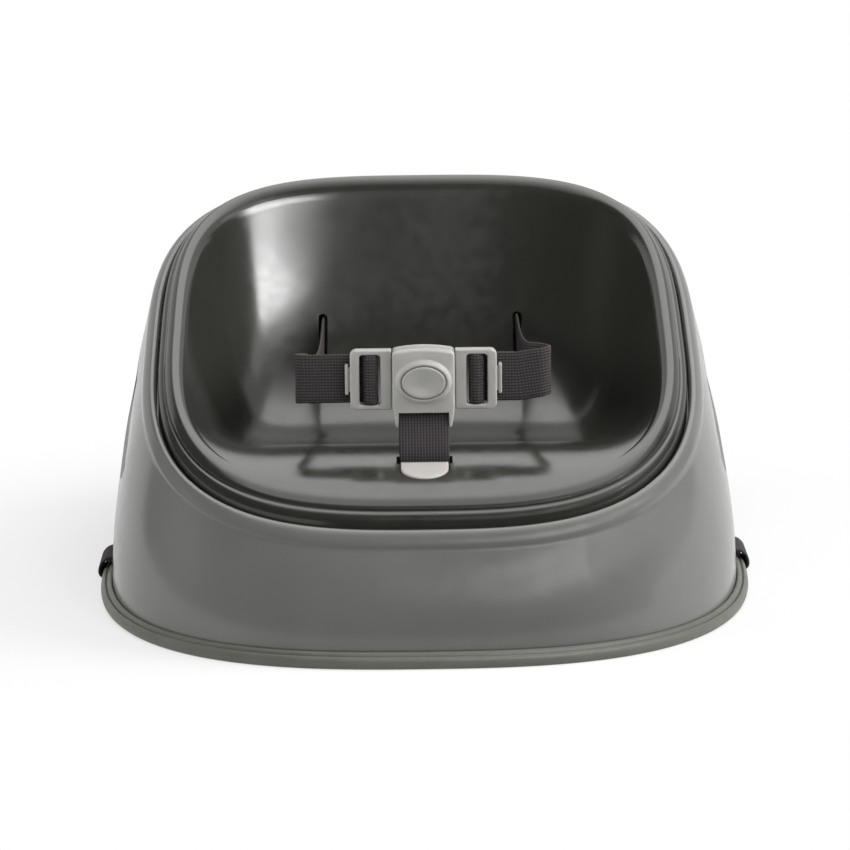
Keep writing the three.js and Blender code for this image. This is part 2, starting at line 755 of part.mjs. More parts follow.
anchorFlange.moveTo(FLANGE_HALF, FLANGE_BACK);
anchorFlange.lineTo(FLANGE_HALF, FLANGE_FRONT + 6);
anchorFlange.absarc(FLANGE_HALF - 6, FLANGE_FRONT + 6, 6, 0, -PI / 2, true);
anchorFlange.lineTo(-FLANGE_HALF + 6, FLANGE_FRONT);
anchorFlange.absarc(-FLANGE_HALF + 6, FLANGE_FRONT + 6, 6, -PI / 2, -PI, true);
anchorFlange.lineTo(-FLANGE_HALF, FLANGE_BACK);
anchorFlange.closePath();
anchor = anchor.add(toManifold(upright(anchorFlange, FLANGE_LOW, FLANGE_TOP)));
const cheekIn = webHalf + 0.6;
anchor = anchor.subtract(box(-cheekIn, cheekIn, D_BACK, OPEN_BACK, FLANGE_LOW - 1, PLATE_TOP + 2));
for (const side of [-1, 1]) {
  const [x0, x1] = side > 0 ? [cheekIn, cheekIn + 3] : [-cheekIn - 3, -cheekIn];
  anchor = anchor.add(box(x0, x1, CROTCH_Y - 3.2, CROTCH_Y + 2.4, FLANGE_LOW - 7.2, FLANGE_LOW + 1));
}
const slanted = toGeometry(anchor);
const slantedAt = slanted.attributes.position;
for (let k = 0; k < slantedAt.count; k += 1) {
  slantedAt.setZ(k, slantedZ(slantedAt.getY(k), slantedAt.getZ(k)));
}
anchor = toManifold(slanted);
const sunkPan = toGeometry(pan);
sunkPan.translate(0, 0, -FIT);
anchor = anchor.subtract(toManifold(sunkPan));
const crotchBar = cylinder(BAR_RADIUS, 2 * cheekIn + 1.4, 16);
crotchBar.rotateY(PI / 2);
crotchBar.translate(0, CROTCH_BAR_Y, CROTCH_BAR_Z);
anchor = anchor.add(toManifold(crotchBar));
addPiece('crotch_anchor', anchor, 0xbfbcb8, 0.45);

// Half turn round a bar, as points from one side to the other
function halfTurn(cx, cy, r, from, to, steps = 6) {
  return Array.from({ length: steps + 1 }, (_, k) => {
    const a = from + ((to - from) * k) / steps;
    return [cx + r * Math.cos(a), cy + r * Math.sin(a)];
  });
}

// Crotch strap: round the anchor bar, up to the buckle, round its bar and back down
const HARDWARE = WEB_WIDTH / 25.4;
const BUCKLE_BAR_Z = BUCKLE_Z - 13.5 * HARDWARE;
const BUCKLE_BAR_Y = BUCKLE_BACK_Y - 6.6 * HARDWARE;
const openTop = seatZ(CROTCH_Y);
const crotchPath = [
  [CROTCH_BAR_Y - WEB_TURN, CROTCH_BAR_Z + 8],
  ...halfTurn(CROTCH_BAR_Y, CROTCH_BAR_Z, WEB_TURN, -PI, 0),
  [CROTCH_Y + 2.1, CROTCH_BAR_Z + 8],
  [CROTCH_Y + 1.4, openTop - 2],
  [CROTCH_Y + 2.2, openTop + 3],
  [BUCKLE_BAR_Y - WEB_TURN, BUCKLE_BAR_Z - 4],
  ...halfTurn(BUCKLE_BAR_Y, BUCKLE_BAR_Z, WEB_TURN, PI, -0.2),
  [BUCKLE_BAR_Y + 1, BUCKLE_BAR_Z - 4.6],
  [CROTCH_Y + 5.6, openTop + 5.4],
  [CROTCH_Y + 4.6, openTop + 2.6],
];
addPiece('crotch_strap', ribbon(crotchPath, (y, z, across) => [across, y, z]), WEB_GREY, 0.95);

// Buckle: depths w are counted from its back face towards the front
const atDepth = (w) => BUCKLE_BACK_Y - w;
const BACK_THICK = 3;
const BUCKLE_FRONT_DROP = 24;
const BUCKLE_BACK_DROP = 20;
const FRONT_FACE = 13;
const FRONT_WALL = 2.1;
function buckleShape(bottom) {
  const s = new THREE.Shape();
  const z = BUCKLE_Z;
  s.moveTo(-15.8, z - 11);
  s.lineTo(-15.8, z + 13.6);
  s.quadraticCurveTo(-15.8, z + 15.2, -14, z + 15.5);
  s.quadraticCurveTo(0, z + 18, 14, z + 15.5);
  s.quadraticCurveTo(15.8, z + 15.2, 15.8, z + 13.6);
  s.lineTo(15.8, z - 11);
  s.quadraticCurveTo(15.6, z + 0.6 * bottom - 3, 14.2, z + bottom);
  s.lineTo(-14.2, z + bottom);
  s.quadraticCurveTo(-15.6, z + 0.6 * bottom - 3, -15.8, z - 11);
  return s;
}
// Buckle parts are drawn for webbing 25.4 wide, then fitted to the webbing's width
function fitted(solid) {
  const geometry = solid.isBufferGeometry ? solid.clone() : toGeometry(solid);
  geometry.translate(0, -BUCKLE_BACK_Y, -BUCKLE_Z);
  geometry.scale(HARDWARE, HARDWARE, HARDWARE);
  geometry.translate(0, BUCKLE_BACK_Y, BUCKLE_Z);
  return geometry;
}
const frontLow = atDepth(BACK_THICK + FIT);
let front = toManifold(frontPlate(buckleShape(-BUCKLE_FRONT_DROP), atDepth(FRONT_FACE), frontLow, 1.1, 8));
const CAVITY_HALF = 13.3;
const cavityFront = atDepth(FRONT_FACE - FRONT_WALL);
const cavityBack = atDepth(-9);
const farFront = atDepth(60);
front = front.subtract(box(-CAVITY_HALF, CAVITY_HALF, cavityFront, cavityBack, BUCKLE_Z - 17, BUCKLE_Z + 13));
front = front.subtract(box(-12.95, 12.95, farFront, cavityBack, BUCKLE_Z - 30, BUCKLE_Z - 16));
front = front.subtract(box(-20, 20, atDepth(6.6), cavityBack, BUCKLE_Z - 5, BUCKLE_Z + 12));
const COLLAR_RISE = 1.4;
const collarShape = ovalShape(13.7, 10.9, 0, BUCKLE_Z);
const collarFront = atDepth(FRONT_FACE + COLLAR_RISE);
front = front.add(toManifold(frontPlate(collarShape, collarFront, atDepth(FRONT_FACE - COLLAR_RISE), 1, 11)));
const BUTTON_HALF_X = 11.1;
const BUTTON_HALF_Z = 8.2;
const holeShape = ovalShape(BUTTON_HALF_X + FIT, BUTTON_HALF_Z + FIT, 0, BUCKLE_Z);
const buttonHole = frontPlate(holeShape, farFront, cavityBack, 0, 11);
front = front.subtract(toManifold(buttonHole));
const bar = cylinder(1.6, 2 * CAVITY_HALF + 2, 16);
bar.rotateY(PI / 2);
bar.translate(0, atDepth(6.6), BUCKLE_Z - 13.5);
front = front.add(toManifold(bar));
addPiece('buckle_front_shell', fitted(front), HARD_GREY, 0.38);

let back = toManifold(frontPlate(buckleShape(-BUCKLE_BACK_DROP), atDepth(BACK_THICK), atDepth(0), 0.7, 8));
back = back.subtract(box(-CAVITY_HALF + 0.3, CAVITY_HALF - 0.3, farFront, cavityBack, BUCKLE_Z - 30, BUCKLE_Z - 10));
addPiece('buckle_back_shell', fitted(back), HARD_GREY, 0.45);

// Release button with a dished face and two lugs that hold it in
const BUTTON_LOW = 9.4;
const BUTTON_TOP = 15.6;
const buttonBody = frontPlate(
  ovalShape(BUTTON_HALF_X, BUTTON_HALF_Z, 0, BUCKLE_Z), atDepth(BUTTON_TOP), atDepth(BUTTON_LOW), 0.6, 11,
);
let button = toManifold(buttonBody);
for (const side of [-1, 1]) {
  const [z0, z1] = side > 0 ? [6, 9.6] : [-9.6, -6];
  button = button.add(box(-4, 4, atDepth(10.6), atDepth(BUTTON_LOW), BUCKLE_Z + z0, BUCKLE_Z + z1));
}
const dish = new THREE.SphereGeometry(1, 18, 10);
dish.scale(9.6, 1.5, 6.8);
dish.translate(0, atDepth(BUTTON_TOP + 0.3), BUCKLE_Z);
button = button.subtract(toManifold(dish));
addPiece('release_button', fitted(button), 0xa6a5a1, 0.35);

// Return spring behind the button
class Coil extends THREE.Curve {
  constructor(radius, low, high, turns) {
    super();
    this.radius = radius;
    this.low = low;
    this.high = high;
    this.turns = turns;
  }

  getPoint(t, target = new THREE.Vector3()) {
    const a = t * this.turns * 2 * PI;
    const y = this.low + (this.high - this.low) * t;
    return target.set(this.radius * Math.cos(a), y, this.radius * Math.sin(a));
  }
}
const WIRE = 0.35;
const wireShape = new THREE.Shape();
for (let k = 0; k < 6; k += 1) {
  const a = (k * PI) / 3;
  if (k === 0) wireShape.moveTo(WIRE * Math.cos(a), WIRE * Math.sin(a));
  else wireShape.lineTo(WIRE * Math.cos(a), WIRE * Math.sin(a));
}
wireShape.closePath();
const coil = new THREE.ExtrudeGeometry(wireShape, {
  steps: 36,
  bevelEnabled: false,
  extrudePath: new Coil(3, atDepth(BUTTON_LOW - FIT - WIRE), atDepth(BACK_THICK + FIT + WIRE), 4),
});
coil.translate(0, 0, BUCKLE_Z);
addPiece('button_spring', fitted(toManifold(coil)), STEEL, 0.3, 1);

// Tongue: frame with a window, a slide bar, a thumb tab and the latch plate
const TONGUE_X = 16.1;
const FRAME_OUT = 37.2;
function tongue() {
  const low = BUCKLE_Z - 15.6;
  const high = BUCKLE_Z + 15.6;
  const outline = new THREE.Shape();
  outline.moveTo(TONGUE_X, low);
  outline.lineTo(FRAME_OUT - 3.4, low);
  outline.quadraticCurveTo(FRAME_OUT, low, FRAME_OUT, low + 3.4);
  outline.lineTo(FRAME_OUT, high - 3.4);
  outline.quadraticCurveTo(FRAME_OUT, high, FRAME_OUT - 3.4, high);
  outline.lineTo(TONGUE_X, high);
  outline.closePath();
  let solid = toManifold(frontPlate(outline, atDepth(8.4), atDepth(2.6), 0.8, 6));
  const window = roundedRect(21.8, 32.5, BUCKLE_Z - 13, BUCKLE_Z + 13, 1.6);
  const windowCut = frontPlate(window, farFront, cavityBack, 0, 3);
  solid = solid.subtract(toManifold(windowCut));
  const slide = cylinder(1.4, 28, 14);
  slide.translate(26.9, atDepth(5.4), BUCKLE_Z);
  solid = solid.add(toManifold(slide));
  const neck = [BUCKLE_Z - 6.2, BUCKLE_Z + 6.2];
  solid = solid.add(box(FRAME_OUT - 1, FRAME_OUT + 1.2, atDepth(6.6), atDepth(4.2), ...neck));
  const tabShape = roundedRect(FRAME_OUT + 0.9, FRAME_OUT + 2.6, BUCKLE_Z - 7.7, BUCKLE_Z + 7.7, 0.6);
  const tab = frontPlate(tabShape, atDepth(7.4), atDepth(3.6), 0.4, 3);
  solid = solid.add(toManifold(tab));
  const latch = box(5.6, TONGUE_X + 1, atDepth(6.2), atDepth(3.6), BUCKLE_Z - 4.5, BUCKLE_Z + 11.5);
  const notch = box(8.6, 11.6, atDepth(7), atDepth(3), BUCKLE_Z - 1, BUCKLE_Z + 8);
  return toGeometry(solid.add(latch).subtract(notch));
}
const rightTongue = fitted(tongue());
addPiece('tongue_right', rightTongue, HARD_GREY, 0.38);
addPiece('tongue_left', mirrored(rightTongue), HARD_GREY, 0.38);

// Waist strap: keeper tail, slot, fold beside the buckle, through the tongue window and back
const linerFace = meetsAt(toGeometry(liner), SLOT_X + 6, SLOT_Z, -40)[0];
const slotToBuckle = (y) => {
  const share = Math.min(1, Math.max(0, (linerFace - 8 - y) / (linerFace - 8 - firstY)));
  return SLOT_Z + (BUCKLE_Z - SLOT_Z) * share * share * (3 - 2 * share);
};
const slideY = atDepth(5.4 * HARDWARE);
const firstY = atDepth(2.6 * HARDWARE - FIT - WEB_THICK / 2);
const secondY = firstY + WEB_THICK + FIT;
const FOLD_X = 61.5;
const farPath = smoothPath([
  [SLOT_X, linerFace - 4], [SLOT_X + 0.6, 50], [SLOT_X + 2.6, 0], [FOLD_X - 3, firstY + 22],
  [FOLD_X - 0.6, firstY + 10], [FOLD_X, firstY + 4], [FOLD_X - 3, firstY + 0.6], [50, firstY],
], 26);
const SLIDE_X = 26.9 * HARDWARE;
const waistPath = [
  [SLOT_X + 7.4, keeperBack + FIT + WEB_THICK / 2],
  [SLOT_X + 1, keeperBack + FIT + WEB_THICK / 2],
  [SLOT_X, keeperBack + 0.2],
  [SLOT_X, linerFace + 2],
  ...farPath,
  [SLIDE_X + 7, firstY],
  [SLIDE_X + 5.3, firstY],
  [SLIDE_X + 4, firstY - 0.7],
  [SLIDE_X + 3.4, firstY - 2],
  ...halfTurn(SLIDE_X, slideY, WEB_TURN + 0.3, 0, -PI, 7).slice(1, -1),
  [SLIDE_X - 3, slideY + 1.5],
  [SLIDE_X - 2.5, secondY - 1],
  [SLIDE_X - 1, secondY],
  [SLIDE_X + 19, secondY],
];
const rightWaist = toGeometry(ribbon(waistPath, (x, y, across) => [x, y, slotToBuckle(y) + across]));
addPiece('waist_strap_right', rightWaist, WEB_GREY, 0.95);
addPiece('waist_strap_left', mirrored(rightWaist), WEB_GREY, 0.95);

// Chair straps: tail inside the wall, over the ring, under it and in to the chair buckle
const EYE_X = 31.5;
const tailX = WALL_HALF_WIDTH - WALL_THICKNESS - 1.2 - WEB_THICK;
const ringX = WALL_HALF_WIDTH + RING_OUT;
const under = smoothPath([
  [WALL_HALF_WIDTH - 11, 1], [WALL_HALF_WIDTH - 19, 1.3], [110, 4], [80, 6.8], [58, 8.2], [46, 8.5],
], 14);
const chairPath = [
  [tailX, CHAIR_SLOT_Z + 13],
  [tailX, CHAIR_SLOT_Z + 3.2],
  [tailX + 0.8, CHAIR_SLOT_Z + 0.7],
  [tailX + 2.5, CHAIR_SLOT_Z],
  [WALL_HALF_WIDTH + 2.3, CHAIR_SLOT_Z],
  [ringX - 1.6, CHAIR_SLOT_Z - 0.7],
  [ringX + 0.7, CHAIR_SLOT_Z - 3.1],
  [ringX + 1.7, 4.6],
  [ringX + 1.6, 2.7],
  [ringX + 0.6, 1.3],
  [ringX - 1.2, 1],
  [WALL_HALF_WIDTH - 3.3, 1],
  ...under,
  [38, CHAIR_BUCKLE_Z - 2.4],
  ...halfTurn(EYE_X, CHAIR_BUCKLE_Z, WEB_TURN, -PI / 2, -1.5 * PI),
  [38, CHAIR_BUCKLE_Z + 2.2],
  [46, CHAIR_BUCKLE_Z + 0.9],
  [58, CHAIR_BUCKLE_Z + 0.6],
];
const rightChair = toGeometry(ribbon(chairPath, (x, z, across) => [x, across, z]));
addPiece('chair_strap_right', rightChair, WEB_GREY, 0.95);
addPiece('chair_strap_left', mirrored(rightChair), WEB_GREY, 0.95);

// Side-release buckle of the chair straps
function eyeEnd(solid, side) {
  const [x0, x1] = side > 0 ? [26.6, 50] : [-50, -26.6];
  const cut = solid.subtract(box(x0, x1, -13.1, 13.1, 0, 20));
  const eye = cylinder(1.6, 28, 16);
  eye.rotateX(PI / 2);
  eye.translate(side * EYE_X, 0, CHAIR_BUCKLE_Z);
  return cut.add(toManifold(eye));
}
function flatPlate(shape, z0, z1, bevel) {
  const geometry = new THREE.ExtrudeGeometry(shape, {
    depth: z1 - z0 - 2 * bevel,
    bevelEnabled: true,
    bevelThickness: bevel,
    bevelSize: bevel,
    bevelOffset: -bevel,
    bevelSegments: 1,
    curveSegments: 5,
  });
  geometry.translate(0, 0, z0 + bevel);
  return toManifold(geometry);
}
const Z0 = CHAIR_BUCKLE_Z - 5;
const Z1 = CHAIR_BUCKLE_Z + 5;
let socket = flatPlate(roundedRect(1.5, 34, -16.5, 16.5, 2.5), Z0, Z1, 0.8);
socket = socket.subtract(box(0, 23, -12.6, 12.6, Z0 + 2, Z1 - 2));
for (const side of [-1, 1]) {
  const [y0, y1] = side > 0 ? [12, 20] : [-20, -12];
  socket = socket.subtract(box(8, 18, y0, y1, Z0 + 2, Z1 - 2));
}
addPiece('chair_buckle_socket', eyeEnd(socket, 1), 0x3c3c3b, 0.5);

let plug = flatPlate(roundedRect(-34, 1.1, -16.5, 16.5, 2.5), Z0 + 0.6, Z1 - 0.6, 0.8);
plug = plug.add(box(0, 17, -2.6, 2.6, Z0 + 3.2, Z1 - 3.2));
for (const side of [-1, 1]) {
  const [a0, a1] = side > 0 ? [8.4, 10.4] : [-10.4, -8.4];
  const [b0, b1] = side > 0 ? [8.4, 12.3] : [-12.3, -8.4];
  plug = plug.add(box(0, 17, a0, a1, Z0 + 2.6, Z1 - 2.6));
  plug = plug.add(box(9, 17, b0, b1, Z0 + 2.6, Z1 - 2.6));
}
addPiece('chair_buckle_plug', eyeEnd(plug, -1), 0x3c3c3b, 0.5);

export default group;
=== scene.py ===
"""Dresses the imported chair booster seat: fine meshes, finishes, studio and camera.

Sizes are in millimetres unless a name says otherwise. The front of the seat faces -Y and +Z is up.
"""

import logging
import math
from dataclasses import dataclass, field
from enum import Enum, IntEnum
from typing import Callable, Optional, Sequence, Union

import bmesh
import bpy
import numpy as np
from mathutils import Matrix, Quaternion, Vector
from mathutils.bvhtree import BVHTree


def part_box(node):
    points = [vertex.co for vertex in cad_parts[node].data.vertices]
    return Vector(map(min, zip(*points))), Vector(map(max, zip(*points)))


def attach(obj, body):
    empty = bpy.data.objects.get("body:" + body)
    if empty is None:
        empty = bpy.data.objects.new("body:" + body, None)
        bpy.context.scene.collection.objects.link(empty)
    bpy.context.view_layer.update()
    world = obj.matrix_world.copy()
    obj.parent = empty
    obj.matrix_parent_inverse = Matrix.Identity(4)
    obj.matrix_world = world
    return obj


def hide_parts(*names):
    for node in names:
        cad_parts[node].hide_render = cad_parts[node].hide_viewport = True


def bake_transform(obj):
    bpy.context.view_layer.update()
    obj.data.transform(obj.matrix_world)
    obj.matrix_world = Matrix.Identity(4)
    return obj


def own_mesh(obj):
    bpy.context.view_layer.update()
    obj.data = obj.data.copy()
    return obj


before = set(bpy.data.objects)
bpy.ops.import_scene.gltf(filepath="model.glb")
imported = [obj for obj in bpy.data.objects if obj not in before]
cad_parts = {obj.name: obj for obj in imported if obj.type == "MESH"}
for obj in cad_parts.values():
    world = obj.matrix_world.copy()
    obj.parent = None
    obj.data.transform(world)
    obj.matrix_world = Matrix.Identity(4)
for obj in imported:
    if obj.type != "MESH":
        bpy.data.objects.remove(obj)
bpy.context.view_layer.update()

logging.basicConfig(level=logging.INFO, format="%(name)s: %(message)s")
LOG = logging.getLogger("booster_seat")

Array = np.ndarray
Mesh = bpy.types.Mesh
Node = bpy.types.Node
Obj = bpy.types.Object
Socket = bpy.types.NodeSocket
Tree = bpy.types.NodeTree
Reach = Union[float, Callable[[Array], Array]]
Corners = list[tuple[float, float, float]]
Span = tuple[float, float]

# A millimetre in metres
MM = 0.001
# Clearance between parts that lie against each other
FIT = 0.3
# Width and thickness of the webbing
WEB_WIDTH = 24.3
WEB_THICK = 1.4
# Radius of the bars that the straps loop round
BAR_RADIUS = 1.6
# Depth of the place where the crotch strap comes through the seat
CROTCH_Y = -92.5
# Edges that turn more than this many degrees stay crisp, on large and on small mouldings
CREASE = 34.0
SMALL_CREASE = 40.0
# Width and height of the photograph's frame, in pixels
FRAME_PX = 850
# Most of a noise pattern lies between these values
NOISE_LOW, NOISE_HIGH = 0.32, 0.68
QUARTER_TURN = math.pi / 2
FULL_TURN = 2 * math.pi


class Side(IntEnum):
    """A side of the seat, as the sign of its x."""

    LEFT = -1
    RIGHT = 1

    @property
    def word(self) -> str:
        """The side's word in the names of pieces."""
        return self.name.lower()


def linear(hex_code: str) -> tuple[float, float, float, float]:
    """Turns an sRGB hex colour into linear light.

    Args:
        hex_code: Six hex digits, such as "7A7A75".

    Returns:
        Red, green, blue and an alpha of 1, for a shader socket.
    """
    parts = [int(hex_code[i:i + 2], 16) / 255 for i in (0, 2, 4)]
    light = [c / 12.92 if c <= 0.04045 else ((c + 0.055) / 1.055) ** 2.4 for c in parts]
    return (light[0], light[1], light[2], 1.0)


def add_node(
    tree: Tree, kind: str, settings: Optional[dict] = None, links: Optional[dict] = None,
) -> Node:
    """Adds a shader node, sets it up and links its inputs.

    Args:
        tree: The node tree that gets the node.
        kind: Blender's name of the node type.
        settings: Values by attribute name, or by input name or number.
        links: Output sockets by input name or number.

    Returns:
        The new node.
    """
    node = tree.nodes.new(kind)
    for key, value in (settings or {}).items():
        if isinstance(key, str) and hasattr(node, key):
            setattr(node, key, value)
        else:
            node.inputs[key].default_value = value
    for key, socket in (links or {}).items():
        tree.links.new(socket, node.inputs[key])
    return node


def empty_tree(owner: Union[bpy.types.Material, bpy.types.World]) -> Tree:
    """Turns on the nodes of a material or world and clears them.

    Args:
        owner: The material or world.

    Returns:
        Its node tree, with nothing in it.
    """
    owner.use_nodes = True
    owner.node_tree.nodes.clear()
    return owner.node_tree


# Finishes


@dataclass(frozen=True)
class Finish:
    """A surface finish on one principled shader.

    Attributes:
        name: Name of the Blender material.
        colour: sRGB hex of the surface.
        shade: sRGB hex that the colour drifts towards in patches; on the webbing, the colour of the
            painted highlight on the yarn tops.
        roughness: Middle value of the shader's roughness.
        ior: Index of refraction.
        metallic: 1 for bare metal.
    """

    name: str
    colour: str
    shade: str
    roughness: float
    ior: float = 1.5
    metallic: float = 0.0

    def material(self) -> bpy.types.Material:
        """Gives the material, made once.

        Returns:
            The Blender material.
        """
        found = bpy.data.materials.get(self.name)
        if found:
            return found
        made = bpy.data.materials.new(self.name)
        tree = empty_tree(made)
        shader = add_node(tree, "ShaderNodeBsdfPrincipled", {
            "Base Color": linear(self.colour),
            "Roughness": self.roughness,
            "Metallic": self.metallic,
            "IOR": self.ior,
        })
        add_node(tree, "ShaderNodeOutputMaterial", links={"Surface": shader.outputs["BSDF"]})
        self.dress(tree, shader)
        made.diffuse_color = linear(self.colour)
        return made

    def dress(self, tree: Tree, shader: Node) -> None:
        """Adds the pattern of the finish.

        Args:
            tree: The material's node tree.
            shader: Its principled shader.
        """
        raise NotImplementedError

    def place(self, tree: Tree) -> Socket:
        """Gives the place on the object in metres, for patterns."""
        return add_node(tree, "ShaderNodeTexCoord").outputs["Object"]

    def grain(self, tree: Tree, size: float, detail: float = 2.0) -> Socket:
        """Gives noise whose grains are about a given size.

        Args:
            tree: The material's node tree.
            size: Grain size in millimetres.
            detail: How many finer layers the noise has.

        Returns:
            The noise value, from 0 to 1.
        """
        noise = add_node(tree, "ShaderNodeTexNoise", {
            "noise_dimensions": "3D", "Scale": 1000 / size, "Detail": detail, "Roughness": 0.55,
        }, {"Vector": self.place(tree)})
        return noise.outputs[0]

    def spread(self, tree: Tree, value: Socket, low: float, high: float) -> Socket:
        """Stretches noise to a range of values.

        Args:
            tree: The material's node tree.
            value: The noise.
            low: Result at the low end.
            high: Result at the high end.

        Returns:
            The stretched value.
        """
        node = add_node(tree, "ShaderNodeMapRange", {
            "From Min": NOISE_LOW, "From Max": NOISE_HIGH, "To Min": low, "To Max": high,
        }, {"Value": value})
        return node.outputs["Result"]

    def tint(self, tree: Tree, factor: Socket, first: str, second: str) -> Socket:
        """Mixes two colours by a factor.

        Args:
            tree: The material's node tree.
            factor: 0 for the first colour and 1 for the second.
            first: sRGB hex.
            second: sRGB hex.

        Returns:
            The mixed colour.
        """
        ramp = add_node(tree, "ShaderNodeValToRGB", links={"Fac": factor})
        ramp.color_ramp.elements[0].color = linear(first)
        ramp.color_ramp.elements[1].color = linear(second)
        return ramp.outputs["Color"]

    def bump(
        self, tree: Tree, height: Socket, depth: float, below: Optional[Socket] = None,
    ) -> Socket:
        """Turns a height into a surface normal.

        Args:
            tree: The material's node tree.
            height: Height from 0 to 1.
            depth: Real height of 1, in millimetres.
            below: A normal from a coarser layer.

        Returns:
            The bumped normal.
        """
        links = {"Height": height} if below is None else {"Height": height, "Normal": below}
        return add_node(
            tree, "ShaderNodeBump", {"Strength": 1.0, "Distance": depth * MM}, links,
        ).outputs["Normal"]


@dataclass(frozen=True)
class MouldedGloss(Finish):
    """Injection-moulded plastic from a polished mould: clear reflections, faint flow waves.

    Attributes:
        wave: Height of the flow waves, in millimetres.
        wave_size: Distance between the waves, in millimetres.
        haze: How far the roughness drifts.
        haze_size: Size of the hazy patches, in millimetres.
        drift_size: Size of the patches of colour, in millimetres.
        skin_size: Size of the finest unevenness, in millimetres.
        skin_share: Its height as a share of the waves' height.
    """

    wave: float = 0.05
    wave_size: float = 34.0
    haze: float = 0.03
    haze_size: float = 7.0
    drift_size: float = 60.0
    skin_size: float = 1.2
    skin_share: float = 0.02

    def dress(self, tree: Tree, shader: Node) -> None:
        """Adds colour drift, haze and flow waves.

        Args:
            tree: The material's node tree.
            shader: Its principled shader.
        """
        drift = self.spread(tree, self.grain(tree, self.drift_size), 0.0, 1.0)
        tree.links.new(self.tint(tree, drift, self.colour, self.shade), shader.inputs["Base Color"])
        patches = self.grain(tree, self.haze_size, 4.0)
        haze = self.spread(tree, patches, self.roughness - self.haze, self.roughness + self.haze)
        tree.links.new(haze, shader.inputs["Roughness"])
        waves = self.bump(tree, self.grain(tree, self.wave_size, 1.0), self.wave)
        skin = self.bump(tree, self.grain(tree, self.skin_size, 1.0), self.wave * self.skin_share, waves)
        tree.links.new(skin, shader.inputs["Normal"])


@dataclass(frozen=True)
class SparkedPlastic(Finish):
    """Moulded plastic from a spark-eroded mould: an even satin with a fine pebble.

    Attributes:
        pebble: Pebble size in millimetres.
        depth: Pebble height in millimetres.
        drift_size: Size of the patches of colour, in millimetres.
        rub: How far the roughness changes where the surface is rubbed.
        rub_size: Size of the rubbed spots, in millimetres.
    """

    pebble: float = 0.35
    depth: float = 0.012
    drift_size: float = 9.0
    rub: float = 0.07
    rub_size: float = 3.5

    def dress(self, tree: Tree, shader: Node) -> None:
        """Adds the pebble, colour drift and rubbed spots.

        Args:
            tree: The material's node tree.
            shader: Its principled shader.
        """
        drift = self.spread(tree, self.grain(tree, self.drift_size), 0.0, 1.0)
        tree.links.new(self.tint(tree, drift, self.colour, self.shade), shader.inputs["Base Color"])
        spots = self.grain(tree, self.rub_size, 5.0)
        rub = self.spread(tree, spots, self.roughness - self.rub, self.roughness + self.rub)
        tree.links.new(rub, shader.inputs["Roughness"])
        cells = add_node(tree, "ShaderNodeTexVoronoi", {"Scale": 1000 / self.pebble}, {
            "Vector": self.place(tree),
        })
        tree.links.new(self.bump(tree, cells.outputs["Distance"], self.depth), shader.inputs["Normal"])


@dataclass(frozen=True)
class WovenWebbing(Finish):
    """Woven polyester webbing: warp cords along the strap, crossed by the weft.

    Attributes:
        valley_shade: sRGB hex of the painted shade between the yarns.
        cord: Distance between warp cords, in millimetres.
        pick: Distance between weft picks, in millimetres.
        depth: Height of a yarn, in millimetres.
        fuzz_size: Distance between loose fibres, in millimetres.
        fuzz_share: Height of the fuzz as a share of a yarn's height.
        sheen: Weight of the fuzz's sheen.
        sheen_roughness: Roughness of that sheen.
    """

    valley_shade: str = "1D1A1B"
    cord: float = 1.45
    pick: float = 1.5
    depth: float = 0.28
    fuzz_size: float = 0.5
    fuzz_share: float = 0.35
    sheen: float = 0.25
    sheen_roughness: float = 0.4

    def dress(self, tree: Tree, shader: Node) -> None:
        """Adds the weave, from the strap's own length and width in metres, with painted shade between
        the yarns and a painted highlight on their tops.

        Args:
            tree: The material's node tree.
            shader: Its principled shader.
        """
        shader.inputs["Sheen Weight"].default_value = self.sheen
        shader.inputs["Sheen Roughness"].default_value = self.sheen_roughness
        shader.inputs["Sheen Tint"].default_value = linear(self.shade)
        place = add_node(tree, "ShaderNodeUVMap", {"uv_map": "strap"}).outputs["UV"]
        split = add_node(tree, "ShaderNodeSeparateXYZ", links={"Vector": place})
        along = self.ripple(tree, split.outputs["X"], self.pick)
        across = self.ripple(tree, split.outputs["Y"], self.cord)
        # The cords stand out as ribs, and the picks only nick them
        nick = add_node(tree, "ShaderNodeMath", {"operation": "MULTIPLY_ADD", 1: 0.5, 2: 0.5}, {
            0: along,
        })
        hills = add_node(tree, "ShaderNodeMath", {"operation": "MULTIPLY"}, {
            0: nick.outputs[0], 1: across,
        })
        fuzz = self.grain(tree, self.fuzz_size, 3.0)
        yarn = add_node(tree, "ShaderNodeMath", {"operation": "MULTIPLY_ADD", 1: self.fuzz_share}, {
            0: fuzz, 2: hills.outputs[0],
        })
        height = add_node(tree, "ShaderNodeMapRange", {
            "From Min": 0.1, "From Max": 1.15, "To Min": 0.0, "To Max": 1.0,
        }, {"Value": yarn.outputs[0]})
        # The yarn height picks the colour: painted shade in the valleys, the plain colour between and a
        # painted highlight on the tops
        ramp = add_node(tree, "ShaderNodeValToRGB", links={"Fac": height.outputs["Result"]})
        ramp.color_ramp.elements[0].color = linear(self.valley_shade)
        ramp.color_ramp.elements[1].color = linear(self.shade)
        middle = ramp.color_ramp.elements.new(0.45)
        middle.color = linear(self.colour)
        tree.links.new(ramp.outputs["Color"], shader.inputs["Base Color"])
        tree.links.new(self.bump(tree, height.outputs["Result"], self.depth), shader.inputs["Normal"])

    def ripple(self, tree: Tree, value: Socket, pitch: float) -> Socket:
        """Gives a wave from 0 to 1 that repeats at a pitch.

        Args:
            tree: The material's node tree.
            value: A length in metres.
            pitch: Repeat in millimetres.

        Returns:
            The wave.
        """
        turn = add_node(tree, "ShaderNodeMath", {"operation": "MULTIPLY", 1: FULL_TURN / (pitch * MM)}, {
            0: value,
        })
        wave = add_node(tree, "ShaderNodeMath", {"operation": "SINE"}, {0: turn.outputs[0]})
        return add_node(tree, "ShaderNodeMath", {"operation": "MULTIPLY_ADD", 1: 0.5, 2: 0.5}, {
            0: wave.outputs[0],
        }).outputs[0]


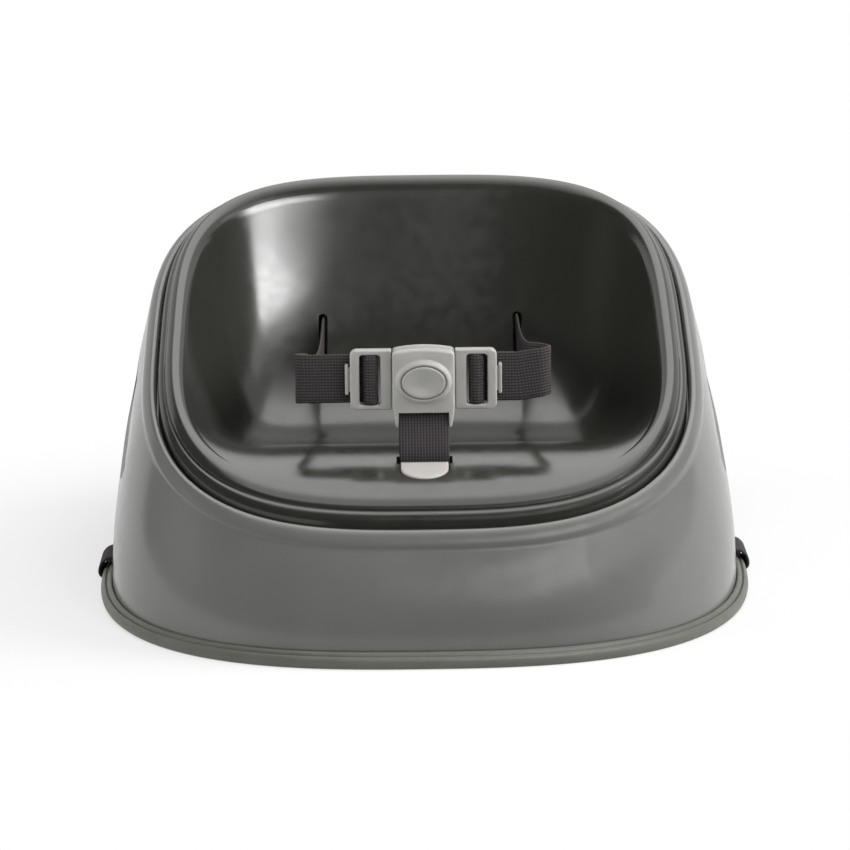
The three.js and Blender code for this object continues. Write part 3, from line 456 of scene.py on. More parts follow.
@dataclass(frozen=True)
class PlatedSteel(Finish):
    """Zinc-plated steel: soft bright metal with clouding and fine pits.

    Attributes:
        cloud_size: Size of the clouds, in millimetres.
        crystal_size: Size of the duller crystals, in millimetres.
        pit_size: Distance between pits, in millimetres.
        pit_depth: Their depth, in millimetres.
    """

    cloud_size: float = 2.0
    crystal_size: float = 0.8
    pit_size: float = 0.25
    pit_depth: float = 0.004

    def dress(self, tree: Tree, shader: Node) -> None:
        """Adds clouding, duller crystals and pits.

        Args:
            tree: The material's node tree.
            shader: Its principled shader.
        """
        cloud = self.spread(tree, self.grain(tree, self.cloud_size, 4.0), 0.0, 1.0)
        tree.links.new(self.tint(tree, cloud, self.colour, self.shade), shader.inputs["Base Color"])
        crystals = self.grain(tree, self.crystal_size, 4.0)
        rough = self.spread(tree, crystals, self.roughness - 0.08, self.roughness + 0.1)
        tree.links.new(rough, shader.inputs["Roughness"])
        pits = self.bump(tree, self.grain(tree, self.pit_size), self.pit_depth)
        tree.links.new(pits, shader.inputs["Normal"])


# Polished polypropylene: mid grey that goes bright where it is seen along its surface
BASE_FINISH = MouldedGloss(
    "polypropylene_polished_grey", "656563", "60605E", 0.2, 1.49, wave=0.04, wave_size=40.0,
)
# Moulded elastomer: dark olive grey, deep and glossy, with softer waves
LINER_FINISH = MouldedGloss(
    "elastomer_gloss_skin_olive", "2C2D28", "292A26", 0.2, 1.52, wave=0.06, wave_size=46.0,
)
# Thermoplastic rubber: dull olive grey with a dusty sheen
RING_FINISH = SparkedPlastic(
    "thermoplastic_rubber_olive", "5A5A54", "55554F", 0.5, 1.5, pebble=0.6, depth=0.02,
)
# Nylon from a sparked mould: pale warm grey with soft highlights on its edges
FITTING_FINISH = SparkedPlastic("nylon_sparked_pale_grey", "A6A5A1", "A09F9C", 0.4, 1.53)
BUTTON_FINISH = SparkedPlastic("nylon_sparked_button_grey", "A09F9C", "9A9996", 0.36, 1.53)
# Plate of the crotch strap: the palest plastic, satin
PLATE_FINISH = SparkedPlastic("nylon_satin_plate_grey", "B2AEAB", "ACA8A5", 0.42, 1.53)
# Acetal of the chair-strap buckle: charcoal satin
DARK_FINISH = SparkedPlastic("acetal_charcoal", "3C3C3B", "353534", 0.38, 1.48)
# Structural polypropylene of the pan: matte, seen from below only
PAN_FINISH = SparkedPlastic(
    "polypropylene_matte_grey", "5A5A57", "52524F", 0.55, 1.49, pebble=0.8, depth=0.03,
)
# Polyester webbing: warm dark grey, dull, with a light fuzz, painted shade between the yarns and a
# painted highlight on their tops
WEBBING_FINISH = WovenWebbing("polyester_webbing_warm_grey", "2B2728", "494344", 0.9)
# Zinc-plated steel of the screws and the spring
STEEL_FINISH = PlatedSteel("steel_zinc_plated", "B9B9B6", "A3A3A0", 0.34, metallic=1.0)


# Meshes


class Ends(Enum):
    """How the ends of a loft are closed."""

    JOINED = "last loop joins the first"
    POINTS = "a point at each end"
    FLAT = "a flat face at each end"


class Carving(Enum):
    """What a tool does to a piece, by Blender's name of it."""

    CUT = "DIFFERENCE"
    ADD = "UNION"
    KEEP = "INTERSECT"


def new_object(name: str, data: bpy.types.ID) -> Obj:
    """Makes an object and links it to the scene.

    Args:
        name: The object's name.
        data: Its mesh, lamp or camera.

    Returns:
        The object.
    """
    made = bpy.data.objects.new(name, data)
    bpy.context.scene.collection.objects.link(made)
    return made


def new_piece(
    name: str, points: Sequence, faces: Sequence, finish: Finish, sharp: float = CREASE,
) -> Obj:
    """Makes a smooth-shaded mesh object.

    Args:
        name: The piece's name.
        points: Places in millimetres.
        faces: Lists of point numbers.
        finish: The surface finish.
        sharp: Edges that turn more than this many degrees stay crisp.

    Returns:
        The object, linked to the scene.
    """
    mesh = bpy.data.meshes.new(name)
    mesh.from_pydata((np.asarray(points, float) * MM).tolist(), [], [list(f) for f in faces])
    mesh.validate()
    piece = new_object(name, mesh)
    make_outward(mesh)
    smooth(mesh, sharp)
    mesh.materials.append(finish.material())
    return piece


def make_outward(mesh: Mesh) -> None:
    """Turns all faces of a closed mesh to the outside.

    Args:
        mesh: The mesh to change.
    """
    work = bmesh.new()
    work.from_mesh(mesh)
    bmesh.ops.recalc_face_normals(work, faces=work.faces)
    work.to_mesh(mesh)
    work.free()


def smooth(mesh: Mesh, sharp: float) -> None:
    """Shades a mesh smooth, apart from edges that turn more than an angle in degrees."""
    mesh.polygons.foreach_set("use_smooth", [True] * len(mesh.polygons))
    mesh.set_sharp_from_angle(angle=math.radians(sharp))


def loft(
    name: str,
    loops: Sequence[Array],
    finish: Finish,
    ends: Ends = Ends.JOINED,
    tips: Optional[tuple] = None,
    sharp: float = CREASE,
) -> Obj:
    """Skins a list of loops that have the same number of points.

    Args:
        name: The piece's name.
        loops: Arrays of points in millimetres.
        finish: The surface finish.
        ends: How the loft closes.
        tips: First and last point, for Ends.POINTS.
        sharp: Edges that turn more than this many degrees stay crisp.

    Returns:
        The object.
    """
    n = len(loops[0])
    points = np.concatenate(loops)
    rows = len(loops) if ends is Ends.JOINED else len(loops) - 1
    k, i = np.meshgrid(np.arange(rows), np.arange(n), indexing="ij")
    here, there = k * n, ((k + 1) % len(loops)) * n
    j = (i + 1) % n
    faces = np.stack([here + i, here + j, there + j, there + i], -1).reshape(-1, 4).tolist()
    last = (len(loops) - 1) * n
    if ends is Ends.POINTS:
        first_at, last_at = len(points), len(points) + 1
        points = np.concatenate([points, [tips[0], tips[1]]])
        faces += [[first_at, (a + 1) % n, a] for a in range(n)]
        faces += [[last + a, last + (a + 1) % n, last_at] for a in range(n)]
    if ends is Ends.FLAT:
        faces += [list(range(n))[::-1], list(range(last, last + n))]
    return new_piece(name, points, faces, finish, sharp)


def carve(piece: Obj, tool: Obj, how: Carving = Carving.CUT, sharp: float = CREASE) -> None:
    """Works a piece with a tool shape and removes the tool.

    Args:
        piece: The piece to change.
        tool: The closed shape.
        how: What the tool does.
        sharp: Edges that turn more than this many degrees stay crisp.
    """
    cut = piece.modifiers.new("cut", "BOOLEAN")
    cut.operation = how.value
    cut.solver = "EXACT"
    cut.object = tool
    graph = bpy.context.evaluated_depsgraph_get()
    made = bpy.data.meshes.new_from_object(piece.evaluated_get(graph), depsgraph=graph)
    old = piece.data
    piece.modifiers.clear()
    piece.data = made
    made.name = piece.name
    bpy.data.meshes.remove(old)
    bpy.data.objects.remove(tool)
    smooth(piece.data, sharp)


def block(low: Sequence[float], high: Sequence[float], finish: Finish, name: str = "tool") -> Obj:
    """Makes a box, as a cutting tool or a hidden lug.

    Args:
        low: Its lowest corner.
        high: Its highest corner.
        finish: The finish of the cut or lug.
        name: The lug's name.

    Returns:
        The box.
    """
    x0, y0, z0 = low
    x1, y1, z1 = high
    points = [(x, y, z) for z in (z0, z1) for x, y in ((x0, y0), (x1, y0), (x1, y1), (x0, y1))]
    faces = [(0, 3, 2, 1), (4, 5, 6, 7), (0, 1, 5, 4), (1, 2, 6, 5), (2, 3, 7, 6), (3, 0, 4, 7)]
    return new_piece(name, points, faces, finish)


def side_block(side: Side, reach: Span, depth: Span, height: Span, finish: Finish) -> Obj:
    """Makes a box on one side of the seat.

    Args:
        side: The side.
        reach: Its ends, measured from the middle of the seat.
        depth: Its front and back.
        height: Its bottom and top.
        finish: The finish of the cut.

    Returns:
        The box.
    """
    x = sorted(side * end for end in reach)
    return block((x[0], depth[0], height[0]), (x[1], depth[1], height[1]), finish)


def join(pieces: Sequence[Obj], name: str) -> Obj:
    """Joins meshes that share places in one moulding into one piece.

    Args:
        pieces: The meshes, whose first keeps its finish.
        name: The name of the joined piece.

    Returns:
        The joined piece.
    """
    work = bmesh.new()
    for piece in pieces:
        work.from_mesh(piece.data)
    first = pieces[0]
    work.to_mesh(first.data)
    work.free()
    for piece in pieces[1:]:
        bpy.data.objects.remove(piece)
    first.name = name
    first.data.name = name
    return first


def spline(points: Sequence, count: int) -> Array:
    """Runs a smooth line through points and spaces it evenly.

    Args:
        points: Places, each a list of 2 or 3 numbers.
        count: How many points the result has.

    Returns:
        An array with one row for each point.
    """
    p = np.asarray(points, float)
    ends = np.vstack([2 * p[0] - p[1], p, 2 * p[-1] - p[-2]])
    fine = []
    for k in range(1, len(ends) - 2):
        a, b, c, d = ends[k - 1:k + 3]
        knots = [0.0]
        for u, v in ((a, b), (b, c), (c, d)):
            knots.append(knots[-1] + max(np.linalg.norm(v - u), 1e-9) ** 0.5)
        t0, t1, t2, t3 = knots
        t = np.linspace(t1, t2, 24, endpoint=False)[:, None]
        a1 = (t1 - t) / (t1 - t0) * a + (t - t0) / (t1 - t0) * b
        a2 = (t2 - t) / (t2 - t1) * b + (t - t1) / (t2 - t1) * c
        a3 = (t3 - t) / (t3 - t2) * c + (t - t2) / (t3 - t2) * d
        b1 = (t2 - t) / (t2 - t0) * a1 + (t - t0) / (t2 - t0) * a2
        b2 = (t3 - t) / (t3 - t1) * a2 + (t - t1) / (t3 - t1) * a3
        fine.append((t2 - t) / (t2 - t1) * b1 + (t - t1) / (t2 - t1) * b2)
    return evenly(np.vstack([*fine, p[-1:]]), count)


def evenly(line: Array, count: int) -> Array:
    """Spaces points evenly along a line of short straight steps.

    Args:
        line: The line's points.
        count: How many points the result has.

    Returns:
        The evenly spaced points.
    """
    steps = np.concatenate([[0], np.cumsum(np.linalg.norm(np.diff(line, axis=0), axis=1))])
    want = np.linspace(0, steps[-1], count)
    return np.stack([np.interp(want, steps, line[:, k]) for k in range(line.shape[1])], 1)


def arc(x: float, y: float, radius: float, start: float, end: float) -> list[list[float]]:
    """Gives nine points on an arc round x and y, from one angle to another in radians."""
    angles = np.linspace(start, end, 9)
    return [[x + radius * math.cos(a), y + radius * math.sin(a)] for a in angles]


def bow(start: Sequence, pull: Sequence, end: Sequence, count: int) -> list[list[float]]:
    """Gives points on a curve from start to just before end, drawn towards a place."""
    t = np.linspace(0, 1, count, endpoint=False)[:, None]
    return ((1 - t) ** 2 * start + 2 * t * (1 - t) * pull + t * t * end).tolist()


def soft_edge(radius: float, top: float, count: int) -> list[tuple[float, float]]:
    """Gives the steps of a rounded edge, from the side of a plate to its face.

    Args:
        radius: The edge's radius.
        top: Height of the face.
        count: How many steps it takes.

    Returns:
        Pairs of an inset and a height.
    """
    turn = np.linspace(0, QUARTER_TURN, count)
    return [(radius * (1 - math.cos(a)), top - radius + radius * math.sin(a)) for a in turn]


def signed_power(values: Array, power: Union[float, Array]) -> Array:
    """Raises the size of values to a power and keeps their signs."""
    return np.sign(values) * np.abs(values) ** power


def eased(rise: float, share: Array) -> Array:
    """Gives a rise that starts and ends slowly while a share goes from 0 to 1."""
    return rise * share * share * (3 - 2 * share)


# The seat's main outlines


@dataclass
class SeatForm:
    """Outlines and sections that the base, the liner and the ring share.

    The rim is the gap line between the base's shoulder and the liner's rolled rim.

    Attributes:
        rim_half_width: Half the rim's width.
        rim_half_depth: Half the rim's depth.
        rim_exponent_front: How square the rim's front corners are.
        rim_exponent_back: How square its back corners are.
        rim_z_front: Height of the rim's plane at the front.
        rim_z_back: Height of that plane at the back.
        wall_half_width: Half the width of the base's foot.
        wall_half_depth: Half its depth.
        wall_exponent: How square the foot's corners are.
        wall_thickness: Thickness of the base's wall.
        wall_bottom_z: Height of the wall's lower edge.
        crest_y: Depth of the highest place of the seat.
        crest_z: Its height.
        front_curve: How fast the seat falls in front of the crest.
        basin_y: Depth where the seat's hollow is level.
        basin_z: Height of the hollow.
        segments: Points round each loop.
        angle: Angle round the outlines, for each point of a loop.
        rim: The rim's outline in x and y.
        rim_normal: Its outward directions.
        wall: The foot's outline in x and y.
        wall_normal: Its outward directions.
    """

    rim_half_width: float = 134.2
    rim_half_depth: float = 132.5
    rim_exponent_front: float = 2.95
    rim_exponent_back: float = 3.35
    rim_z_front: float = 60.0
    rim_z_back: float = 178.0
    wall_half_width: float = 159.0
    wall_half_depth: float = 158.0
    wall_exponent: float = 2.72
    wall_thickness: float = 3.0
    wall_bottom_z: float = 2.5
    crest_y: float = -78.0
    crest_z: float = 84.5
    front_curve: float = 0.0061
    basin_y: float = 22.0
    basin_z: float = 62.5
    segments: int = 256
    angle: Array = field(init=False)
    rim: Array = field(init=False)
    rim_normal: Array = field(init=False)
    wall: Array = field(init=False)
    wall_normal: Array = field(init=False)

    def __post_init__(self) -> None:
        """Works out the rim and wall outlines and their outward directions."""
        half = [self.rim_half_width, self.rim_half_depth]
        fine = np.linspace(-QUARTER_TURN, 3 * QUARTER_TURN, 40001)
        line = self.outline(fine, *half)
        steps = np.concatenate([[0], np.cumsum(np.hypot(*np.diff(line, axis=0).T))])
        want = np.linspace(0, steps[-1], self.segments, endpoint=False)
        polar = np.interp(want, steps, fine)
        self.rim = self.outline(polar, *half)
        power = np.where(self.rim[:, 1] < 0, self.rim_exponent_front, self.rim_exponent_back)
        unit = signed_power(self.rim / half, (power / 2)[:, None])
        self.angle = np.arctan2(unit[:, 1], unit[:, 0])
        self.rim_normal = self.outward(self.rim, half, power)
        foot = [self.wall_half_width, self.wall_half_depth]
        self.wall = signed_power(unit, 2 / self.wall_exponent) * foot
        self.wall_normal = self.outward(self.wall, foot, np.full(self.segments, self.wall_exponent))

    def outline(self, polar: Array, half_width: float, half_depth: float) -> Array:
        """Gives the rim's rounded outline.

        Args:
            polar: Polar angles in radians.
            half_width: Half its width.
            half_depth: Half its depth.

        Returns:
            A row of x and y for each angle.
        """
        power = np.where(np.sin(polar) < 0, self.rim_exponent_front, self.rim_exponent_back)
        reach = np.abs(np.cos(polar) / half_width) ** power + np.abs(np.sin(polar) / half_depth) ** power
        radius = reach ** (-1 / power)
        return np.stack([radius * np.cos(polar), radius * np.sin(polar)], 1)

    @staticmethod
    def outward(points: Array, half: Sequence[float], power: Array) -> Array:
        """Gives the outward directions of a rounded outline at its points.

        Args:
            points: The outline's points.
            half: Half its width and half its depth.
            power: How square its corners are, for each point.

        Returns:
            A direction of length 1 for each point.
        """
        slope = signed_power(points / half, (power - 1)[:, None]) / half
        return slope / np.linalg.norm(slope, axis=1)[:, None]

    @property
    def tilt(self) -> float:
        """Rise of the rim plane for each millimetre towards the back."""
        return (self.rim_z_back - self.rim_z_front) / (2 * self.rim_half_depth)

    def plane_z(self, y: Array) -> Array:
        """Height of the rim plane at depths y."""
        return (self.rim_z_back + self.rim_z_front) / 2 + self.tilt * np.asarray(y)

    def front_share(self) -> Array:
        """Gives how far each place of a loop belongs to the front, from 0 to 1."""
        return eased(1, np.clip((-np.sin(self.angle) - 0.35) / 0.6, 0, 1))

    def seat_z(self, y: Union[float, Array]) -> Array:
        """Gives the seat's height: it falls in front of the crest and is hollow behind it.

        Args:
            y: A depth or an array of them.

        Returns:
            The height at each depth.
        """
        y = np.asarray(y, float)
        fall = self.crest_z - self.front_curve * (self.crest_y - y) ** 2
        share = np.clip((y - self.crest_y) / (self.basin_y - self.crest_y), 0, 1)
        hollow = self.crest_z + eased(self.basin_z - self.crest_z, share)
        return np.where(y < self.crest_y, fall, hollow)

    def seat_slope(self, y: Union[float, Array]) -> Array:
        """Rise of the seat for each millimetre towards the back, at depths y."""
        step = 0.01
        return (self.seat_z(np.add(y, step)) - self.seat_z(np.subtract(y, step))) / (2 * step)

    def rim_loop(self, inset: Reach, rise: float, front_lift: float = 0.0) -> Array:
        """Gives a loop inside the gap line, at a height above the rim plane.

        Args:
            inset: Distance inwards, or a function of the angle that gives it.
            rise: Height above the tilted rim plane.
            front_lift: Further height that grows towards the front.

        Returns:
            The loop's points.
        """
        width = inset(self.angle) if callable(inset) else np.full(self.segments, float(inset))
        flat = self.rim - self.rim_normal * width[:, None]
        z = self.plane_z(flat[:, 1]) + rise + front_lift * self.front_share()
        return np.column_stack([flat, z])

    def wall_loop(self, inset: float, z: float) -> Array:
        """Gives a level loop inside the wall's outline, at height z."""
        flat = self.wall - self.wall_normal * inset
        return np.column_stack([flat, np.full(self.segments, z)])

    @staticmethod
    def between(low: Array, high: Array, share: float) -> Array:
        """Gives a loop between two of the wall, which is upright below and leans in above."""
        return low + (high - low) * [share * share, share * share, share]

    def section(self, points: Sequence, count: int) -> list[Array]:
        """Gives rim loops along a smooth section of inset, rise and front lift, where it has one."""
        return [self.rim_loop(*place) for place in spline(points, count)]


@dataclass
class BaseShell:
    """The hollow base: leaning wall, rounded shoulder, ledge, ribs, grips and strap slots."""

    form: SeatForm
    shoulder_out: float = 7.0
    shoulder_drop: float = 5.5
    ledge_rise: float = -10.0
    ledge_thick: float = 3.4
    grip_depth: float = 1.3
    grip_wall: float = 2.8
    grip_y: float = 3.0
    grip_z: float = 83.0
    grip_half_length: float = 44.0
    grip_half_height: float = 15.0
    slot_z: float = 10.9
    slot_half_height: float = 1.4
    slot_side_room: float = 0.7
    rib_y: float = 64.0
    rib_x: float = 38.0
    rib_bottom_z: float = 14.0
    pilot_radius: float = 1.8
    screw_places: Sequence[Sequence[float]] = ()

    def skin(self, inset: float, count: int) -> list[Array]:
        """Gives loops of the outer wall.

        Args:
            inset: How far they are moved inwards.
            count: How many there are.

        Returns:
            The loops, from the lowest up.
        """
        form = self.form
        low = form.wall_loop(inset, form.wall_bottom_z)
        high = form.rim_loop(-self.shoulder_out + inset, -self.shoulder_drop)
        return [form.between(low, high, u) for u in np.linspace(0, 1, count)]

    def ledge_reach(self, angle: Array) -> Array:
        """Gives the ledge's width, narrow at both sides and wide in front and behind."""
        return 6.2 + 6.8 * np.sin(angle) ** 2

    def solid_skin(self, inset: float) -> Obj:
        """Makes a tool of the space inside the outer wall, smaller by an inset."""
        tips = ((0, 0, self.form.wall_bottom_z), (0, 0, float(self.form.plane_z(0))))
        return loft("tool", self.skin(inset, 14), BASE_FINISH, Ends.POINTS, tips)

    def grip_block(self, side: Side) -> Obj:
        """Makes the tool of one grip recess, with squarer ends than an oval's.

        Args:
            side: The recess's side.

        Returns:
            The tool.
        """
        count = 96
        t = np.linspace(0, FULL_TURN, count, endpoint=False)
        # Along the recess and across it
        u = self.grip_half_length * signed_power(np.cos(t), 2 / 4.2)
        v = self.grip_half_height * signed_power(np.sin(t), 2 / 2.6)
        lean = math.atan(self.form.tilt)
        y = u * math.cos(lean) - v * math.sin(lean) + self.grip_y
        z = u * math.sin(lean) + v * math.cos(lean) + self.grip_z
        ends = [side * (self.form.rim_half_width + out) for out in (4.8, 44.8)]
        loops = [np.column_stack([np.full(count, x), y, z]) for x in ends]
        return loft("tool", loops, BASE_FINISH, Ends.FLAT)

    def build(self) -> Obj:
        """Builds the shell and gives it its finish.

        Returns:
            The shell.
        """
        form = self.form
        # Inset and rise of the rounded shoulder, from the wall to the gap line
        shoulder = [[-7, -5.5], [-6.5, -3], [-5, -0.9], [-2.8, 0.35], [-1.0, 0.25], [0, -0.9]]
        inner_low = form.wall_loop(form.wall_thickness, form.wall_bottom_z)
        ledge_bottom = self.ledge_rise - self.ledge_thick
        inner_high = form.rim_loop(-self.shoulder_out + form.wall_thickness - 0.6, ledge_bottom)
        loops = [
            *self.skin(0, 44),
            *form.section(shoulder, 16)[1:],
            form.rim_loop(0, -4.0),
            form.rim_loop(0, self.ledge_rise + 0.4),
            form.rim_loop(0.4, self.ledge_rise),
            form.rim_loop(self.ledge_reach, self.ledge_rise),
            form.rim_loop(self.ledge_reach, ledge_bottom),
            *[form.between(inner_low, inner_high, u) for u in np.linspace(1, 0, 16)],
        ]
        shell = loft("base_shell_moulding", loops, BASE_FINISH)
        for rib in self.ribs():
            carve(shell, rib, Carving.ADD)
        half = WEB_WIDTH / 2 + self.slot_side_room
        reach = (form.wall_half_width - 14, form.wall_half_width + 10)
        slot_height = (self.slot_z - self.slot_half_height, self.slot_z + self.slot_half_height)
        for side in Side:
            grip = self.grip_block(side)
            carve(grip, self.solid_skin(self.grip_depth))
            carve(shell, self.grip_backing(side), Carving.ADD)
            carve(shell, grip)
            carve(shell, side_block(side, reach, (-half, half), slot_height, BASE_FINISH))
        for place in self.screw_places:
            rise = self.ledge_rise
            carve(shell, upright_tool(place, self.pilot_radius, rise - 8, rise + 2, form))
        return shell

    def grip_backing(self, side: Side) -> Obj:
        """Makes the thickened wall behind one grip recess, a little larger than the recess.

        Args:
            side: The recess's side.

        Returns:
            The wall's shape.
        """
        backing = self.grip_block(side)
        middle = Vector((0, self.grip_y * MM, self.grip_z * MM))
        for vertex in backing.data.vertices:
            offset = vertex.co - middle
            vertex.co = middle + Vector((offset.x, offset.y * 1.06, offset.z * 1.17))
        carve(backing, self.solid_skin(self.grip_depth), Carving.KEEP)
        carve(backing, self.solid_skin(self.grip_depth + self.grip_wall))
        return backing

    def ribs(self) -> list[Obj]:
        """Makes the stiffening ribs under the ledge.

        Returns:
            The ribs, two at each side and two at each end.
        """
        form = self.form
        deep, bottom = form.rim_half_depth, self.rib_bottom_z
        reach = (form.rim_half_width + 1.8, form.rim_half_width + 41.8)
        made = []
        for side in Side:
            for y in (-self.rib_y, self.rib_y):
                top = float(form.plane_z(y)) + self.ledge_rise - self.ledge_thick / 2 - 1
                made.append(side_block(side, reach, (y - 1, y + 1), (bottom, top), BASE_FINISH))
            x = side * self.rib_x
            for y0, y1, end in (
                (-deep - 45.5, -deep - 5.5, -deep - 5.5), (deep - 0.5, deep + 39.5, deep - 0.5),
            ):
                top = float(form.plane_z(end)) + self.ledge_rise - 2
                made.append(block((x - 1, y0, bottom), (x + 1, y1, top), BASE_FINISH))
        for rib in made:
            carve(rib, self.solid_skin(form.wall_thickness / 2), Carving.KEEP)
        return made


@dataclass
class FootRing:
    """The rubber ring that grips the wall's lower edge: two beads with a groove between."""

    form: SeatForm
    reach: float = 6.0
    notch_height: float = 2.0
    crease: float = 50.0

    def build(self) -> Obj:
        """Builds the ring with its notches for the chair straps.

        Returns:
            The ring.
        """
        form = self.form
        out = self.reach
        # Reach outside the wall's outline and height: outer beads, upper lip and the foot inside
        outside = spline([
            [out - 1.6, 0], [out - 0.4, 1.1], [out, 3.0], [out - 0.6, 5.0], [out - 1.9, 6.0],
            [3.25, 5.5],
        ], 22)
        inside = spline([[3.1, 5.4], [2.7, 6.3], [2.0, 7.1], [1.1, 7.5], [FIT, 7.2]], 12)
        web = form.wall_bottom_z - FIT
        inner, innermost = -form.wall_thickness - 0.6, -form.wall_thickness - 2.8
        rest = [[FIT, web], [inner, web], [inner, 6], [innermost, 6], [innermost, 0]]
        section = [*outside.tolist(), *inside.tolist(), *rest]
        loops = [form.wall_loop(-reach, z) for reach, z in section]
        ring = loft("foot_ring_bead", loops, RING_FINISH, sharp=self.crease)
        half = WEB_WIDTH / 2 + 0.6
        notch = (form.wall_half_width - 11, form.wall_half_width + 12)
        for side in Side:
            tool = side_block(side, notch, (-half, half), (-1, self.notch_height), RING_FINISH)
            carve(ring, tool, sharp=self.crease)
        return ring


@dataclass
class SeatLiner:
    """The glossy bucket skin: tray, bowl, rolled rim, groove and lower lip."""

    form: SeatForm
    tray_half_width: float = 82.0
    tray_half_depth: float = 60.0
    tray_centre_y: float = -40.0
    tray_exponent: float = 2.6
    bowl_flat: float = 0.56
    bowl_steep: float = 0.79
    bowl_rise: float = 0.5
    thick: float = 4.0
    pan_gap: float = 0.8
    pan_thick: float = 3.0
    roll_width: float = 15.0
    roll_rise: float = 5.6
    roll_lift: float = 2.7
    lip_bottom: float = -6.2
    slot_x: float = 52.0
    slot_z: float = 101.0
    slot_tall: float = 28.0
    slot_wide: float = 4.6
    slot_room: float = 0.3
    opening_room: float = 0.6
    head_room: float = 3.9

    def tray_loop(self) -> Array:
        """Gives the outline of the seat's middle.

        Returns:
            The loop's points.
        """
        root = 2 / self.tray_exponent
        x = self.tray_half_width * signed_power(np.cos(self.form.angle), root)
        y = self.tray_half_depth * signed_power(np.sin(self.form.angle), root) + self.tray_centre_y
        return np.column_stack([x, y, self.form.seat_z(y)])

    def bowl_loop(self, share: Union[float, Array], offset: float) -> Array:
        """Gives a loop of the bowl between the tray and the roll of the rim.

        Args:
            share: 0 at the tray and 1 at the roll, for all points or for each.
            offset: Distance below the surface.

        Returns:
            The loop's points.
        """
        tray = self.tray_loop()
        roll = self.form.rim_loop(self.roll_width, self.roll_rise, self.roll_lift)
        flat = roll[:, :2] - tray[:, :2]
        run = np.linalg.norm(flat, axis=1)
        rise = roll[:, 2] - tray[:, 2]
        s = np.broadcast_to(np.asarray(share, float), run.shape)
        weights = [(1 - s) ** 3, 3 * s * (1 - s) ** 2, 3 * s * s * (1 - s), s ** 3]
        slopes = [3 * (1 - s) ** 2, 6 * s * (1 - s), 3 * s * s]
        r = [0 * run, self.bowl_flat * run, self.bowl_steep * run, run]
        first = self.form.seat_slope(tray[:, 1]) * flat[:, 1] / run * r[1]
        h = [0 * run, first, first + self.bowl_rise * (rise - first), rise]
        along = sum(w * v for w, v in zip(weights, r))
        up = sum(w * v for w, v in zip(weights, h))
        dr = sum(d * (r[k + 1] - r[k]) for k, d in enumerate(slopes))
        dz = sum(d * (h[k + 1] - h[k]) for k, d in enumerate(slopes))
        length = np.hypot(dr, dz)
        along = along + offset * dz / length
        place = tray[:, :2] + flat / run[:, None] * along[:, None]
        return np.column_stack([place, tray[:, 2] + up - offset * dr / length])

    def tray_inner(self, share: float, offset: float) -> Array:
        """Gives a smaller copy of the middle's outline.

        Args:
            share: Its size against the outline.
            offset: Distance below the seat.

        Returns:
            The loop's points.
        """
        centre = np.array([0, self.tray_centre_y])
        flat = (self.tray_loop()[:, :2] - centre) * share + centre
        return np.column_stack([flat, self.form.seat_z(flat[:, 1]) - offset])

    def flange_reach(self, angle: Array) -> Array:
        """Gives the flange's width, narrow at both sides and wide in front and behind."""
        return 8.6 + 7.4 * np.sin(angle) ** 2

    def under_top(self, depth: float, ledge: Callable[[Array], Array], rise: float) -> Array:
        """Finds the highest share on each side where the pan's underside clears the ledge.

        Args:
            depth: Distance of the pan's underside below the bowl's surface.
            ledge: The ledge's width at each angle.
            rise: Height of the ledge above the rim plane.

        Returns:
            The share for each point of a loop.
        """
        best = np.full(self.form.segments, 0.3)
        limit = ledge(self.form.angle) + 1
        front = self.form.front_share()
        for share in np.arange(0.31, 1.0, 0.01):
            loop = self.bowl_loop(share, depth)
            inset = np.einsum("ij,ij->i", self.form.rim - loop[:, :2], self.form.rim_normal)
            above = loop[:, 2] - self.form.plane_z(loop[:, 1])
            clear = (above <= rise - FIT + 12 * front) & (inset >= limit) & (share <= 1 - 0.4 * front)
            best = np.where(clear, share, best)
        return best

    def build(self, base: BaseShell) -> Obj:
        """Builds the liner with its strap slots and the crotch opening.

        Args:
            base: The shell whose ledge carries the pan under the liner.

        Returns:
            The liner.
        """
        form = self.form
        # Inset, rise and lift at the front: first the rolled rim, then the lip that drops in the gap
        roll = [
            [15, 5.6, 2.7], [13.4, 7.6, 0.6], [11.4, 8.9, -0.8], [9.2, 9.4, -1.6], [7.2, 8.9, -1.7],
            [5.7, 7.6, -1.0], [5.0, 6.2, -0.6], [5.2, 5.4, -0.3],
        ]
        lip = [[4.7, 4.9, -0.1], [3.2, 4.6, 0], [2.1, 3.8, 0], [1.5, 2.8, 0], [1.2, 1.4, 0]]
        pan_under = self.thick + self.pan_gap + self.pan_thick
        top = self.under_top(pan_under, base.ledge_reach, base.ledge_rise)
        under = [self.bowl_loop(top * k, self.thick) for k in np.linspace(1, 0, 8)]
        loops = [
            *[self.tray_inner(k, 0) for k in np.linspace(0.08, 0.94, 14)],
            *[self.bowl_loop(s, 0) for s in np.linspace(0, 1, 46)],
            *form.section(roll, 30)[1:],
            *form.section(lip, 12),
            form.rim_loop(1.2, self.lip_bottom),
            form.rim_loop(self.flange_reach, self.lip_bottom),
            *under,
            *[self.tray_inner(k, self.thick) for k in (0.75, 0.5, 0.25)],
        ]
        middle = float(form.seat_z(self.tray_centre_y))
        tips = ((0, self.tray_centre_y, middle), (0, self.tray_centre_y, middle - self.thick))
        liner = loft("seat_liner_skin", loops, LINER_FINISH, Ends.POINTS, tips)
        for side in Side:
            carve(liner, self.slot_tool(side))
        for tool in crotch_tools(self.opening_room):
            carve(liner, tool)
        for place in base.screw_places:
            carve(liner, upright_tool(place, self.head_room, self.lip_bottom - 3, 0, form))
        return liner

